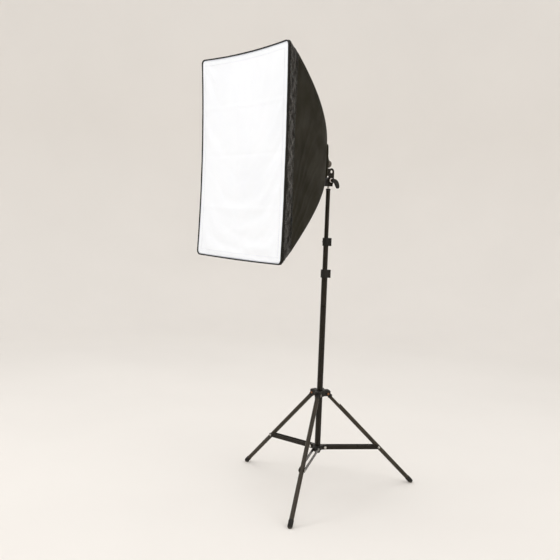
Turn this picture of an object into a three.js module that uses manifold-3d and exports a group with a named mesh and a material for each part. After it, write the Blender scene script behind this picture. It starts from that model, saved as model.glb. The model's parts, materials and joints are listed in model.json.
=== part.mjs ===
// Studio softbox on a folding light stand, millimetres, +Z up, the diffuser facing -Y.
// The stand is modelled about its own pole axis. The finished group is then shifted so
// that the origin lies under the middle of the whole object, on the floor.

import * as THREE from 'three';
import { mergeVertices } from 'three/addons/utils/BufferGeometryUtils.js';
import Module from 'manifold-3d';

const wasm = await Module();
wasm.setup();

// ---------------------------------------------------------------- driving dimensions

const GAP = 0.3;                 // air between neighbouring solids
const ROUND = 24;                // facets on a tube or a turned piece

// pole: three tubes, one inside the other
const LOWER_TUBE = { outer: 11.2, inner: 10.0, bottom: 151, top: 828 };
const MID_TUBE = { outer: 9.6, inner: 8.4, bottom: 340, top: 948 };
const TOP_TUBE = { outer: 8.0, inner: 6.8, bottom: 562, top: 1150 };

// lock collars, each with a square lug on one side and a clamping knob on another
const COLLAR_HEIGHT = 30;
const LOWER_COLLAR = { bottom: 822, radius: 15.4, lug: 22.2, screw: 838 };
const UPPER_COLLAR = { bottom: 942, radius: 13.3, lug: 20.2, screw: 958 };
const LUG_AZIMUTH = 52.6;
const LUG_WIDTH = 13;
const KNOB_AZIMUTH = 142.5;
const KNOB_RADIUS = 13.5;
const KNOB_DEPTH = 15;
const KNOB_EDGE = 1.5;           // chamfer round both faces of a knob
const SCREW_RADIUS = 3;
const BOSS = { radius: 8, stand: 5 };

// tripod
const LEG_AZIMUTHS = [67.4, 187.4, 307.4];
const LEG_PIVOT = { radius: 31.5, height: 374.5 };
const LEG_SPREAD = 44.9;         // degrees from the vertical
const LEG_TUBE = { outer: 8.25, inner: 7.05, start: 16, end: 510 };
const FOOT = { radius: 9.3, start: 496, centre: 518.4 };
const LEG_COLLAR = { bottom: 365.5, top: 389, bore: 11.6, radius: 19 };
const LEG_BOSS = 24;             // reach of the leg collar's boss for its screw
const LEG_LOCK = { azimuth: 127.4, height: 378 };
const BRACE_PIVOT = { radius: 28, height: 163.5 };
const BRACE_ON_LEG = 311.5;      // distance of the brace joint from the leg's own pivot
const BRACE = { width: 15, thickness: 2, inside: 8.65 };
const HUB = { bottom: 154.5, top: 172.5, radius: 17 };

// bracket between the stand's stud and the lamp
const STUD = { neck: 4, thread: 3.1, top: 1178 };
const SOCKET_BLOCK = { left: -11, right: 8, front: -11, back: 14, bottom: 1165, round: 12 };
const TILT = { y: 4, z: 1187 };
const ARM = { inside: 8.3, thickness: 2.5, radius: 13, eye: 32, hole: 5.5 };

// lamp holder and lamp, lying along Y on this height
const LAMP_HEIGHT = 1251;
const HOUSING = { back: -12.3, front: -78, radius: 24.5, bore: 21 };
const REAR_CAP = { drop: 4, radius: 15.5, back: 6 };
const NECK = { front: -22, back: -4, bottom: 1203, half: 8 };
const SWITCH = { height: 13, width: 8, y: -13, z: 1216 };
const BULB = { base: -52, collar: -80, ballast: -150, end: -268, coil: 30, tube: 6.2, turns: 4 };

// softbox
const FACE = { y: -409.3, z: 1249, halfWidth: 257.5, halfHeight: 353, corner: 18 };
const HEM = { depth: 10, width: 4 };
const CLOTH = 1.2;               // thickness of a cover panel
const ROD_RADIUS = 2;
const COVER_BACK = 54;           // distance of the panels' rear edge in front of the pole axis
const BAND_BACK = 352;
const COVER_FRONT = -FACE.y - HEM.depth;
const RING = { back: -32, front: -42, bore: 25, radius: 34 };
const CUFF_BACK = 26;

// A stay, seen square to the plane of its bow: distance from the lamp axis against
// distance in front of the pole axis. The cover lies on this curve.
const BOW = new THREE.CubicBezierCurve(
  new THREE.Vector2(37.4, 37.4),
  new THREE.Vector2(201.5, 94.3),
  new THREE.Vector2(385.4, 356.8),
  new THREE.Vector2(430, COVER_FRONT),
);
const BOW_REACH = 430;
const BOW_LIFT = 12.4;           // the loaded stays stand this much higher at mid-length

// ---------------------------------------------------------------- materials

function material(color, roughness, metalness) {
  return new THREE.MeshStandardMaterial({ color, roughness, metalness });
}

const blackSteel = material('#211e18', 0.35, 0.6);
const blackPlastic = material('#2b2923', 0.55, 0);
const blackRubber = material('#1d1c1a', 0.8, 0);
const zinc = material('#c9c8c4', 0.3, 1);
const brass = material('#a8703c', 0.35, 1);
const greyPlastic = material('#6b635a', 0.5, 0);
const ceramic = material('#e7e4da', 0.4, 0);
const lampGlass = material('#f6f4ee', 0.3, 0);
const stayRod = material('#b9bab8', 0.3, 1);
const blackNylon = material('#2a2824', 0.7, 0);
const glossNylon = material('#35342f', 0.45, 0);
const whiteCloth = material('#ffffff', 0.9, 0);

// ---------------------------------------------------------------- solids

// Drops the attributes that split shared vertices, and the slivers on a turned piece's axis.
function weld(geometry) {
  const bare = geometry.clone();
  bare.deleteAttribute('normal');
  bare.deleteAttribute('uv');
  const welded = mergeVertices(bare, 1e-4);
  const index = welded.getIndex().array;
  const kept = [];
  for (let i = 0; i < index.length; i += 3) {
    const [a, b, c] = [index[i], index[i + 1], index[i + 2]];
    if (a !== b && b !== c && c !== a) {
      kept.push(a, b, c);
    }
  }
  welded.setIndex(kept);
  return welded;
}

function toSolid(geometry) {
  const welded = weld(geometry);
  return new wasm.Manifold(new wasm.Mesh({
    numProp: 3,
    vertProperties: new Float32Array(welded.getAttribute('position').array),
    triVerts: new Uint32Array(welded.getIndex().array),
  }));
}

function toGeometry(solid) {
  const mesh = solid.getMesh();
  const geometry = new THREE.BufferGeometry();
  geometry.setAttribute('position', new THREE.BufferAttribute(mesh.vertProperties, 3));
  geometry.setIndex(new THREE.BufferAttribute(mesh.triVerts, 1));
  geometry.computeVertexNormals();
  return geometry;
}

function join(first, ...others) {
  return toGeometry(others.reduce((sum, g) => sum.add(toSolid(g)), toSolid(first)));
}

function cut(first, ...others) {
  return toGeometry(others.reduce((rest, g) => rest.subtract(toSolid(g)), toSolid(first)));
}

function common(first, ...others) {
  return toGeometry(others.reduce((rest, g) => rest.intersect(toSolid(g)), toSolid(first)));
}

// A piece turned about Z from a closed outline of [radius, height] pairs, counterclockwise.
function turned(outline, segments = ROUND) {
  const points = outline.map(([r, z]) => new THREE.Vector2(r, z));
  if (outline[0][0] > 0) {
    points.push(points[0].clone());
  }
  return new THREE.LatheGeometry(points, segments).rotateX(Math.PI / 2);
}

function rod(radius, bottom, top, segments = ROUND) {
  return turned([[0, bottom], [radius, bottom], [radius, top], [0, top]], segments);
}

function pipe({ outer, inner, bottom, top }, segments = ROUND) {
  return turned([[inner, bottom], [outer, bottom], [outer, top], [inner, top]], segments);
}

function box(xs, ys, zs) {
  const geometry = new THREE.BoxGeometry(xs[1] - xs[0], ys[1] - ys[0], zs[1] - zs[0]);
  return geometry.translate((xs[0] + xs[1]) / 2, (ys[0] + ys[1]) / 2, (zs[0] + zs[1]) / 2);
}

// A flat plate whose outline lies in the XZ plane, between two values of Y.
function plateAcrossY(shape, [y0, y1], curveSegments = 5) {
  const plate = new THREE.ExtrudeGeometry(shape, {
    depth: y1 - y0,
    bevelEnabled: false,
    curveSegments,
  });
  return plate.rotateX(Math.PI / 2).translate(0, y1, 0);
}

// A flat plate whose outline lies in the YZ plane, between two values of X.
function plateAcrossX(shape, [x0, x1], curveSegments = 8) {
  const plate = new THREE.ExtrudeGeometry(shape, {
    depth: x1 - x0,
    bevelEnabled: false,
    curveSegments,
  });
  return plate.rotateY(Math.PI / 2).rotateX(Math.PI / 2).translate(x0, 0, 0);
}

// A pin along Y with a round head at each end.
function headedPin(radius, headRadius, halfGrip, halfLength) {
  return turned([
    [0, -halfLength], [headRadius, -halfLength], [headRadius, -halfGrip], [radius, -halfGrip],
    [radius, halfGrip], [headRadius, halfGrip], [headRadius, halfLength], [0, halfLength],
  ], 14).rotateX(Math.PI / 2);
}

// A bar with round ends from x = 0 to x = length.
function stadium(length, radius) {
  const shape = new THREE.Shape();
  shape.absarc(length, 0, radius, -Math.PI / 2, Math.PI / 2, false);
  shape.absarc(0, 0, radius, Math.PI / 2, 1.5 * Math.PI, false);
  return shape;
}

function circlePath(x, y, radius) {
  return new THREE.Path().absarc(x, y, radius, 0, 2 * Math.PI, true);
}

const model = new THREE.Group();

function place(parent, name, geometry, look) {
  const mesh = new THREE.Mesh(geometry, look);
  mesh.name = name;
  parent.add(mesh);
  return mesh;
}

// A group turned about the pole, in which X runs outward.
function station(azimuth) {
  const group = new THREE.Group();
  group.rotation.z = THREE.MathUtils.degToRad(azimuth);
  model.add(group);
  return group;
}

// ---------------------------------------------------------------- pole

function lockCollar({ bottom, radius, lug, screw }, outerTube, innerTube) {
  const top = bottom + COLLAR_HEIGHT;
  const body = rod(radius, bottom, top);
  const lugBlock = box([0, lug], [-LUG_WIDTH / 2, LUG_WIDTH / 2], [bottom, top])
    .rotateZ(THREE.MathUtils.degToRad(LUG_AZIMUTH));
  const boss = rod(BOSS.radius, 0, radius + BOSS.stand, 14)
    .rotateY(Math.PI / 2)
    .translate(0, 0, screw)
    .rotateZ(THREE.MathUtils.degToRad(KNOB_AZIMUTH));
  const screwHole = rod(SCREW_RADIUS + GAP, 0, radius + 10, 10)
    .rotateY(Math.PI / 2)
    .translate(0, 0, screw)
    .rotateZ(THREE.MathUtils.degToRad(KNOB_AZIMUTH));
  const lowerBore = rod(outerTube.outer + GAP, bottom - 1, outerTube.top + GAP);
  const upperBore = rod(innerTube.outer + GAP, bottom, top + 1);
  return cut(join(body, lugBlock, boss), lowerBore, upperBore, screwHole);
}

// A lobed knob on a radial screw, modelled along X outward.
function lockKnob(seat, tip) {
  const lobes = 5;
  const outline = Array.from({ length: 20 }, (_, i) => {
    const angle = (i / 20) * 2 * Math.PI;
    const radius = KNOB_RADIUS * (0.93 + 0.07 * Math.cos(lobes * angle));
    return new THREE.Vector2(radius * Math.cos(angle), radius * Math.sin(angle));
  });
  const head = new THREE.ExtrudeGeometry(new THREE.Shape(outline), {
    depth: KNOB_DEPTH - 2 * KNOB_EDGE,
    bevelEnabled: true,
    bevelThickness: KNOB_EDGE,
    bevelSize: KNOB_EDGE,
    bevelOffset: -KNOB_EDGE,
    bevelSegments: 1,
  }).rotateY(Math.PI / 2).translate(seat + KNOB_EDGE, 0, 0);
  const screw = rod(SCREW_RADIUS, tip, seat + KNOB_DEPTH / 2, 10).rotateY(Math.PI / 2);
  return join(head, screw);
}

function buildPole() {
  place(model, 'lower_tube', pipe(LOWER_TUBE), blackSteel);
  place(model, 'mid_tube', pipe(MID_TUBE), blackSteel);
  place(model, 'top_tube', pipe(TOP_TUBE), blackSteel);
  place(model, 'lower_lock_collar', lockCollar(LOWER_COLLAR, LOWER_TUBE, MID_TUBE), blackPlastic);
  place(model, 'upper_lock_collar', lockCollar(UPPER_COLLAR, MID_TUBE, TOP_TUBE), blackPlastic);
  const locks = [
    ['lower_lock_knob', LOWER_COLLAR, MID_TUBE],
    ['upper_lock_knob', UPPER_COLLAR, TOP_TUBE],
  ];
  for (const [name, collar, tube] of locks) {
    const knob = lockKnob(collar.radius + BOSS.stand + 2 * GAP, tube.outer + 2 * GAP);
    place(station(KNOB_AZIMUTH), name, knob.translate(0, 0, collar.screw), blackPlastic);
  }
  const plug = turned([
    [0, 141], [9, 142.5], [12, 147], [12, LOWER_TUBE.bottom - GAP],
    [LOWER_TUBE.inner - GAP, LOWER_TUBE.bottom - GAP], [LOWER_TUBE.inner - GAP, 166], [0, 166],
  ], 20);
  place(model, 'hub_plug', plug, blackRubber);
  const cap = turned([
    [STUD.neck + GAP, TOP_TUBE.top + GAP], [8.9, TOP_TUBE.top + GAP], [8.9, 1155], [8.2, 1156],
    [STUD.neck + GAP, 1156],
  ]);
  place(model, 'top_cap', cap, blackPlastic);
  const stud = turned([
    [0, 1128], [TOP_TUBE.inner - GAP, 1128], [TOP_TUBE.inner - GAP, TOP_TUBE.top - GAP],
    [STUD.neck, TOP_TUBE.top - GAP], [STUD.neck, SOCKET_BLOCK.bottom - GAP],
    [STUD.thread, SOCKET_BLOCK.bottom - GAP], [STUD.thread, STUD.top], [0, STUD.top],
  ], 16);
  place(model, 'stud', stud, zinc);
}

// ---------------------------------------------------------------- tripod

// An ear of the leg collar: two cheeks round the top of a leg, under a roof.
const EAR = {
  round: LEG_PIVOT.height - LEG_COLLAR.bottom,
  inner: 6.3,
  outer: 10.3,
  shoulder: 7,
  roof: 5,
};
const PIN_BORE = 3;

function legCollar() {
  const { bottom, top, bore, radius } = LEG_COLLAR;
  let collar = join(rod(radius, bottom, top), rod(BOSS.radius, 0, LEG_BOSS, 14)
    .rotateY(Math.PI / 2)
    .translate(0, 0, LEG_LOCK.height)
    .rotateZ(THREE.MathUtils.degToRad(LEG_LOCK.azimuth)));
  for (const azimuth of LEG_AZIMUTHS) {
    const turn = THREE.MathUtils.degToRad(azimuth);
    const outline = new THREE.Shape();
    outline.moveTo(0, bottom);
    outline.lineTo(LEG_PIVOT.radius, bottom);
    outline.absarc(LEG_PIVOT.radius, LEG_PIVOT.height, EAR.round, -Math.PI / 2, 0, false);
    const reach = LEG_PIVOT.radius + EAR.round;
    outline.lineTo(reach, top - EAR.shoulder);
    outline.absarc(reach - EAR.shoulder, top - EAR.shoulder, EAR.shoulder, 0, Math.PI / 2, false);
    outline.lineTo(0, top);
    const ear = plateAcrossY(outline, [-EAR.outer, EAR.outer]).rotateZ(turn);
    const slot = box([radius + 3, 60], [-EAR.inner, EAR.inner], [bottom - 1, top - EAR.roof])
      .rotateZ(turn);
    const pinHole = rod(PIN_BORE, -15, 15, 10)
      .rotateX(Math.PI / 2)
      .translate(LEG_PIVOT.radius, 0, LEG_PIVOT.height)
      .rotateZ(turn);
    collar = cut(join(collar, ear), slot, pinHole);
  }
  const screwHole = rod(SCREW_RADIUS + GAP, 0, LEG_BOSS + 5, 10)
    .rotateY(Math.PI / 2)
    .translate(0, 0, LEG_LOCK.height)
    .rotateZ(THREE.MathUtils.degToRad(LEG_LOCK.azimuth));
  return cut(collar, rod(bore, bottom - 1, top + 1), screwHole);
}

// A leg hangs along -Z from its pivot at the local origin; its parent group leans it outward.
function legTube() {
  const { outer, inner, start, end } = LEG_TUBE;
  const tube = pipe({ outer, inner, bottom: -end, top: -start }, 18);
  const bush = rod(5, -8.2, 8.2, 10).rotateX(Math.PI / 2).translate(0, 0, -BRACE_ON_LEG);
  const bushBore = rod(PIN_BORE, -9, 9, 10).rotateX(Math.PI / 2).translate(0, 0, -BRACE_ON_LEG);
  return cut(join(tube, bush), bushBore);
}

function legCap() {
  const tongue = stadium(LEG_TUBE.start - 2, 8);
  tongue.holes.push(circlePath(0, 0, PIN_BORE));
  const ear = plateAcrossY(tongue, [-6, 6]).rotateY(Math.PI / 2);
  const flange = rod(9.4, -LEG_TUBE.start + GAP, -LEG_TUBE.start + 2.5, 16);
  const plug = rod(LEG_TUBE.inner - GAP, -36, -LEG_TUBE.start + 1, 12);
  const trim = box([-12, 12], [-12, 12], [-LEG_TUBE.start + GAP, 20]);
  return join(common(ear, trim), flange, plug);
}

// A rubber boot with a round end, worn flat where it stands on the floor.
function legFoot() {
  const { radius, start, centre } = FOOT;
  const rounding = [0, 30, 50, 70, 90].map((degrees) => {
    const angle = THREE.MathUtils.degToRad(degrees);
    return [radius * Math.sin(angle), -centre - radius * Math.cos(angle)];
  });
  const boot = turned([
    ...rounding, [radius, -start - 2], [radius - 1, -start], [LEG_TUBE.outer + GAP, -start],
    [LEG_TUBE.outer + GAP, -LEG_TUBE.end - GAP], [0, -LEG_TUBE.end - GAP],
  ], 16);
  const lean = THREE.MathUtils.degToRad(LEG_SPREAD);
  const aboveFloor = box([0, 500], [-100, 100], [-LEG_PIVOT.height, 300]).rotateY(lean);
  return common(boot, aboveFloor);
}

// One strip of a brace along X, with the head of the joint's rivet on its outer face.
function braceStrip(side) {
  const lean = THREE.MathUtils.degToRad(LEG_SPREAD);
  const reach = LEG_PIVOT.radius + BRACE_ON_LEG * Math.sin(lean) - BRACE_PIVOT.radius;
  const drop = LEG_PIVOT.height - BRACE_ON_LEG * Math.cos(lean) - BRACE_PIVOT.height;
  const length = Math.hypot(reach, drop);
  const outline = stadium(length, BRACE.width / 2);
  outline.holes.push(circlePath(0, 0, 3.2));
  const inner = BRACE.inside;
  const outer = inner + BRACE.thickness;
  const span = side > 0 ? [inner, outer] : [-outer, -inner];
  const strip = plateAcrossY(outline, span);
  const head = turned([[0, 0], [5.5, 0], [5.5, 0.8], [4, 1.7], [0, 1.7]], 12)
    .translate(0, 0, outer - 0.1)
    .rotateX(side > 0 ? -Math.PI / 2 : Math.PI / 2)
    .translate(length, 0, 0);
  return join(strip, head).rotateY(-Math.atan2(drop, reach));
}

function braceHub() {
  const { bottom, top, radius } = HUB;
  let hub = rod(radius, bottom, top);
  for (const azimuth of LEG_AZIMUTHS) {
    const lug = stadium(BRACE_PIVOT.radius, 8.7);
    lug.holes.push(circlePath(BRACE_PIVOT.radius, 0, 3.1));
    const ear = plateAcrossY(lug, [-8.2, 8.2])
      .translate(0, 0, BRACE_PIVOT.height)
      .rotateZ(THREE.MathUtils.degToRad(azimuth));
    hub = join(hub, ear);
  }
  return cut(hub, rod(LOWER_TUBE.outer + GAP, bottom - 1, top + 1));
}

function buildTripod() {
  place(model, 'leg_collar', legCollar(), blackPlastic);
  place(model, 'brace_hub', braceHub(), blackPlastic);
  const legLock = lockKnob(LEG_BOSS + 2 * GAP, LOWER_TUBE.outer + 2 * GAP)
    .translate(0, 0, LEG_LOCK.height);
  place(station(LEG_LOCK.azimuth), 'leg_lock_knob', legLock, blackPlastic);
  LEG_AZIMUTHS.forEach((azimuth, i) => {
    const side = station(azimuth);
    const leg = new THREE.Group();
    leg.position.set(LEG_PIVOT.radius, 0, LEG_PIVOT.height);
    leg.rotation.y = -THREE.MathUtils.degToRad(LEG_SPREAD);
    side.add(leg);
    place(leg, `leg_tube_${i + 1}`, legTube(), blackSteel);
    place(leg, `leg_cap_${i + 1}`, legCap(), blackPlastic);
    place(leg, `leg_foot_${i + 1}`, legFoot(), blackRubber);
    const legPin = place(side, `leg_pin_${i + 1}`, headedPin(2.6, 4.5, 10.6, 12.4), brass);
    legPin.position.set(LEG_PIVOT.radius, 0, LEG_PIVOT.height);
    const hubPin = place(side, `hub_pin_${i + 1}`, headedPin(2.7, 5, 10.95, 12.6), zinc);
    hubPin.position.set(BRACE_PIVOT.radius, 0, BRACE_PIVOT.height);
    for (const [word, sign] of [['left', 1], ['right', -1]]) {
      const strip = place(side, `brace_${i + 1}_${word}`, braceStrip(sign), blackSteel);
      strip.position.set(BRACE_PIVOT.radius, 0, BRACE_PIVOT.height);
    }
  });
}

// ---------------------------------------------------------------- tilting bracket

// The lower half of the bracket: it screws onto the stud and carries the tilt bolt.
function standSocket() {
  const { left, right, front, back, bottom, round } = SOCKET_BLOCK;
  const outline = new THREE.Shape();
  outline.moveTo(front, bottom);
  outline.lineTo(back, bottom);
  outline.lineTo(TILT.y + round, TILT.z);
  outline.absarc(TILT.y, TILT.z, round, 0, Math.PI, false);
  const block = plateAcrossX(outline, [left, right], 7);
  const studBore = rod(STUD.thread + GAP, bottom - 1, STUD.top + 1, 20);
  const boltBore = rod(SCREW_RADIUS + GAP, -20, 20, 20)
    .rotateY(Math.PI / 2)
    .translate(0, TILT.y, TILT.z);
  return cut(block, studBore, boltBore);
}

// The upper half: a steel plate with a round eye, pivoting on the bolt beside the block.
function tiltArm() {
  const { inside, thickness, radius, eye, hole } = ARM;
  const outline = new THREE.Shape();
  outline.absarc(TILT.y, TILT.z, radius, Math.PI, 2 * Math.PI, false);
  outline.absarc(TILT.y, TILT.z + eye, radius, 0, Math.PI * 0.75, false);
  outline.lineTo(NECK.front, TILT.z + eye + radius * Math.SQRT1_2);
  outline.lineTo(NECK.front, NECK.bottom);
  outline.lineTo(TILT.y - radius, NECK.bottom);
  outline.holes.push(circlePath(TILT.y, TILT.z, SCREW_RADIUS + GAP));
  outline.holes.push(circlePath(TILT.y, TILT.z + eye, hole));
  return plateAcrossX(outline, [inside, inside + thickness], 10);
}

// Hexagonal head, shank, and the bright washer under the lever, along X.
function tiltBolt() {
  const shank = rod(SCREW_RADIUS, -12, 24, 12);
  const head = rod(6, -15.5, -11.3, 6);
  const washer = rod(7.8, 11.1, 12.4, 24);
  return join(shank, head, washer).rotateY(Math.PI / 2).translate(0, TILT.y, TILT.z);
}

function tiltLever() {
  const hub = rod(6.5, 16.7, 26.5, 20).rotateY(Math.PI / 2);
  const wing = new THREE.Shape();
  wing.moveTo(-1, 6);
  wing.bezierCurveTo(14, 7, 27, -4, 28.5, -20);
  wing.quadraticCurveTo(29, -29, 22, -29.5);
  wing.bezierCurveTo(14, -27, 14, -12, 1, -6);
  const blade = plateAcrossX(wing, [17.5, 25.7], 6);
  const bore = rod(SCREW_RADIUS + GAP, 16, 24.5, 12).rotateY(Math.PI / 2);
  return cut(join(hub, blade), bore).translate(0, TILT.y, TILT.z);
}

function buildBracket() {
  place(model, 'stand_socket', standSocket(), blackSteel);
  place(model, 'tilt_arm', tiltArm(), blackSteel);
  place(model, 'tilt_bolt', tiltBolt(), zinc);
  const bush = turned([[3.3, 12.7], [5.6, 12.7], [5.6, 16.4], [3.3, 16.4]], 16);
  place(model, 'lever_bush', bush.rotateY(Math.PI / 2).translate(0, TILT.y, TILT.z), brass);
  place(model, 'tilt_lever', tiltLever(), blackPlastic);
}

// ---------------------------------------------------------------- lamp

// A piece turned about the lamp axis from [radius, y] pairs, y falling toward the diffuser.
function turnedOnLamp(outline, segments = 20) {
  const reversed = outline.map(([r, y]) => [r, -y]);
  return turned(reversed, segments).rotateX(Math.PI / 2).translate(0, 0, LAMP_HEIGHT);
}

function lampHousing() {
  const { back, front, radius, bore } = HOUSING;
  const shell = turnedOnLamp([
    [0, back], [16.5, back], [18, -16], [20.5, -26], [radius, -36], [radius, front],
    [bore, front], [bore, -37], [16, -27], [0, -24],
  ]);
  const neck = box(
    [-NECK.half - 1, NECK.half],
    [NECK.front, NECK.back],
    [NECK.bottom, LAMP_HEIGHT - 12],
  );
  const roomForCap = box([-30, 30], [back, 10], [LAMP_HEIGHT - 20.5, LAMP_HEIGHT + 30]);
  const recess = box(
    [-NECK.half - 2, -NECK.half + 4],
    [SWITCH.y - SWITCH.width / 2 - GAP, SWITCH.y + SWITCH.width / 2 + GAP],
    [SWITCH.z - SWITCH.height / 2 - 1, SWITCH.z + SWITCH.height / 2 + 1],
  );
  return cut(join(shell, cut(neck, roomForCap)), recess);
}

function rearCap() {
  const { drop, radius, back } = REAR_CAP;
  return turnedOnLamp([
    [3.6, back], [6.5, back - 0.6], [11, back - 3.6], [14, back - 9],
    [radius, HOUSING.back + GAP], [3.6, HOUSING.back + GAP],
  ]).translate(0, 0, -drop);
}

function cordGland() {
  const { drop, back } = REAR_CAP;
  const front = HOUSING.back + 4;
  return turnedOnLamp([[1.9, back + 3], [3.2, back + 3], [3.2, front], [1.9, front]], 16)
    .translate(0, 0, -drop);
}

// The rocker turns about Y at the bottom of its recess and rests on one of its two sides.
function rockerSwitch() {
  const half = SWITCH.height / 2;
  const outline = new THREE.Shape();
  outline.moveTo(-NECK.half + 3, SWITCH.z - 3);
  outline.lineTo(-NECK.half + 3, SWITCH.z + 3);
  outline.lineTo(-NECK.half + 0.2, SWITCH.z + half);
  outline.lineTo(-NECK.half - 1.4, SWITCH.z + half);
  outline.lineTo(-NECK.half - 1.8, SWITCH.z);
  outline.lineTo(-NECK.half - 3.4, SWITCH.z - half);
  outline.lineTo(-NECK.half - 0.4, SWITCH.z - half);
  const halfWidth = SWITCH.width / 2;
  return plateAcrossY(outline, [SWITCH.y - halfWidth, SWITCH.y + halfWidth]);
}

function lampSocket() {
  return turnedOnLamp([
    [0, -27.5], [15, -27.5], [HOUSING.bore - 0.4, -38.5], [HOUSING.bore - 0.4, BULB.collar + 0.8],
    [14, BULB.collar + 0.8], [14, -49], [0, -49],
  ]);
}

function bulbSpiral() {
  const length = BULB.ballast - GAP - BULB.end - BULB.tube;
  const points = Array.from({ length: 12 * BULB.turns + 1 }, (_, i) => {
    const share = i / (12 * BULB.turns);
    const angle = share * BULB.turns * 2 * Math.PI;
    const y = BULB.ballast - BULB.tube - 1 - share * (length - BULB.tube - 1);
    return new THREE.Vector3(
      BULB.coil * Math.cos(angle),
      y,
      LAMP_HEIGHT + BULB.coil * Math.sin(angle),
    );
  });
  const section = new THREE.Shape().absarc(0, 0, BULB.tube, 0, 2 * Math.PI, false);
  return new THREE.ExtrudeGeometry(section, {
    steps: 12 * BULB.turns,
    extrudePath: new THREE.CatmullRomCurve3(points),
    curveSegments: 4,
    bevelEnabled: false,
  });
}

function buildLamp() {
  place(model, 'lamp_housing', lampHousing(), greyPlastic);
  place(model, 'rear_cap', rearCap(), greyPlastic);
  place(model, 'cord_gland', cordGland(), blackRubber);
  place(model, 'rocker_switch', rockerSwitch(), blackPlastic);
  place(model, 'lamp_socket', lampSocket(), ceramic);
  const base = turnedOnLamp([
    [0, BULB.base], [13, BULB.base - 2], [13, BULB.collar + GAP], [0, BULB.collar + GAP],
  ]);
  place(model, 'bulb_base', base, brass);
  const ballast = turnedOnLamp([
    [0, BULB.collar], [17, BULB.collar], [20, -90], [33, -112], [38, -122], [38, BULB.ballast + 6],
    [34, BULB.ballast], [0, BULB.ballast],
  ]);
  place(model, 'bulb_ballast', ballast, ceramic);
  place(model, 'bulb_spiral', bulbSpiral(), lampGlass);
}

// ---------------------------------------------------------------- softbox

const BOW_STEPS = 12;

// Height of the middle of the box where its stays are this far from the axis.
function coverMiddle(reach, depth) {
  const share = reach / BOW_REACH;
  const atLamp = LAMP_HEIGHT - FACE.z;
  return FACE.z + atLamp * (1 + depth / FACE.y) + BOW_LIFT * 4 * share * (1 - share);
}

// The cover's outline on one side, as [y, distance] pairs, moved inward by inset. The
// distance is measured from the pole's plane of symmetry for a side wall, and is a
// height for the top and the bottom.
function coverOutline(side, inset) {
  const line = BOW.getPoints(BOW_STEPS).map((p) => {
    if (side === 'wall') {
      return new THREE.Vector2(-p.y, (FACE.halfWidth * p.x) / BOW_REACH);
    }
    const rise = (FACE.halfHeight * p.x) / BOW_REACH;
    const middle = coverMiddle(p.x, p.y);
    return new THREE.Vector2(-p.y, side === 'top' ? middle + rise : middle - rise);
  });
  const inward = side === 'bottom' ? 1 : -1;
  return line.map((point, i) => {
    const before = line[Math.max(i - 1, 0)];
    const after = line[Math.min(i + 1, line.length - 1)];
    const along = after.clone().sub(before).normalize();
    const normal = new THREE.Vector2(-along.y, along.x);
    return point.clone().addScaledVector(normal, inset * inward * Math.sign(normal.y));
  });
}

// The outline's distance at one value of y.
function outlineAt(line, y) {
  for (let i = 1; i < line.length; i += 1) {
    if (line[i].x <= y) {
      const share = (y - line[i - 1].x) / (line[i].x - line[i - 1].x);
      return THREE.MathUtils.lerp(line[i - 1].y, line[i].y, share);
    }
  }
  return line[line.length - 1].y;
}

function shapeAlong(points) {
  return new THREE.Shape(points.map((p) => p.clone()));
}

// All that lies between the two side walls, moved inward by inset.
function betweenWalls(inset) {
  const wall = coverOutline('wall', inset);
  const mirrored = wall.map((p) => new THREE.Vector2(p.x, -p.y)).reverse();
  const plan = shapeAlong([...wall, ...mirrored].map((p) => new THREE.Vector2(-p.y, p.x)));
  return new THREE.ExtrudeGeometry(plan, { depth: 1000, bevelEnabled: false })
    .translate(0, 0, LAMP_HEIGHT - 500);
}

// All that lies between the top and the bottom, moved inward by inset.
function betweenTopAndBottom(inset) {
  const outline = [...coverOutline('top', inset), ...coverOutline('bottom', inset).reverse()];
  return plateAcrossX(shapeAlong(outline), [-400, 400]);
}

function slab(back, front) {
  return box([-400, 400], [-front, -back], [LAMP_HEIGHT - 500, LAMP_HEIGHT + 500]);
}

function coverPanel(side) {
  const strip = slab(COVER_BACK, BAND_BACK);
  if (side === 'top' || side === 'bottom') {
    const above = [LAMP_HEIGHT, LAMP_HEIGHT + 500];
    const below = [LAMP_HEIGHT - 500, LAMP_HEIGHT];
    const half = side === 'top' ? above : below;
    const shell = cut(betweenTopAndBottom(0), betweenTopAndBottom(CLOTH));
    return common(shell, betweenWalls(CLOTH + GAP), strip, box([-400, 400], [-450, 0], half));
  }
  const half = side === 'right' ? [0, 400] : [-400, 0];
  const shell = cut(betweenWalls(0), betweenWalls(CLOTH));
  return common(shell, betweenTopAndBottom(CLOTH + GAP), strip, box(half, [-450, 0], [0, 2000]));
}

function frontBand() {
  const outside = common(betweenWalls(0), betweenTopAndBottom(0));
  const inside = common(betweenWalls(CLOTH), betweenTopAndBottom(CLOTH));
  return common(cut(outside, inside), slab(BAND_BACK + GAP, COVER_FRONT - GAP));
}

function roundedRectangle(halfWidth, halfHeight, radius) {
  const shape = new THREE.Shape();
  shape.absarc(halfWidth - radius, halfHeight - radius, radius, 0, Math.PI / 2, false);
  shape.absarc(radius - halfWidth, halfHeight - radius, radius, Math.PI / 2, Math.PI, false);
  shape.absarc(radius - halfWidth, radius - halfHeight, radius, Math.PI, 1.5 * Math.PI, false);
  shape.absarc(halfWidth - radius, radius - halfHeight, radius, 1.5 * Math.PI, 2 * Math.PI, false);
  return shape;
}

function frontHem() {
  const { halfWidth, halfHeight, corner } = FACE;
  const outer = roundedRectangle(halfWidth, halfHeight, corner);
  const inner = roundedRectangle(halfWidth - HEM.width, halfHeight - HEM.width, corner - HEM.width);
  const ring = cut(
    plateAcrossY(outer, [FACE.y, FACE.y + HEM.depth], 6),
    plateAcrossY(inner, [FACE.y - 1, FACE.y + HEM.depth + 1], 6),
  );
  return ring.translate(0, 0, FACE.z);
}

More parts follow.
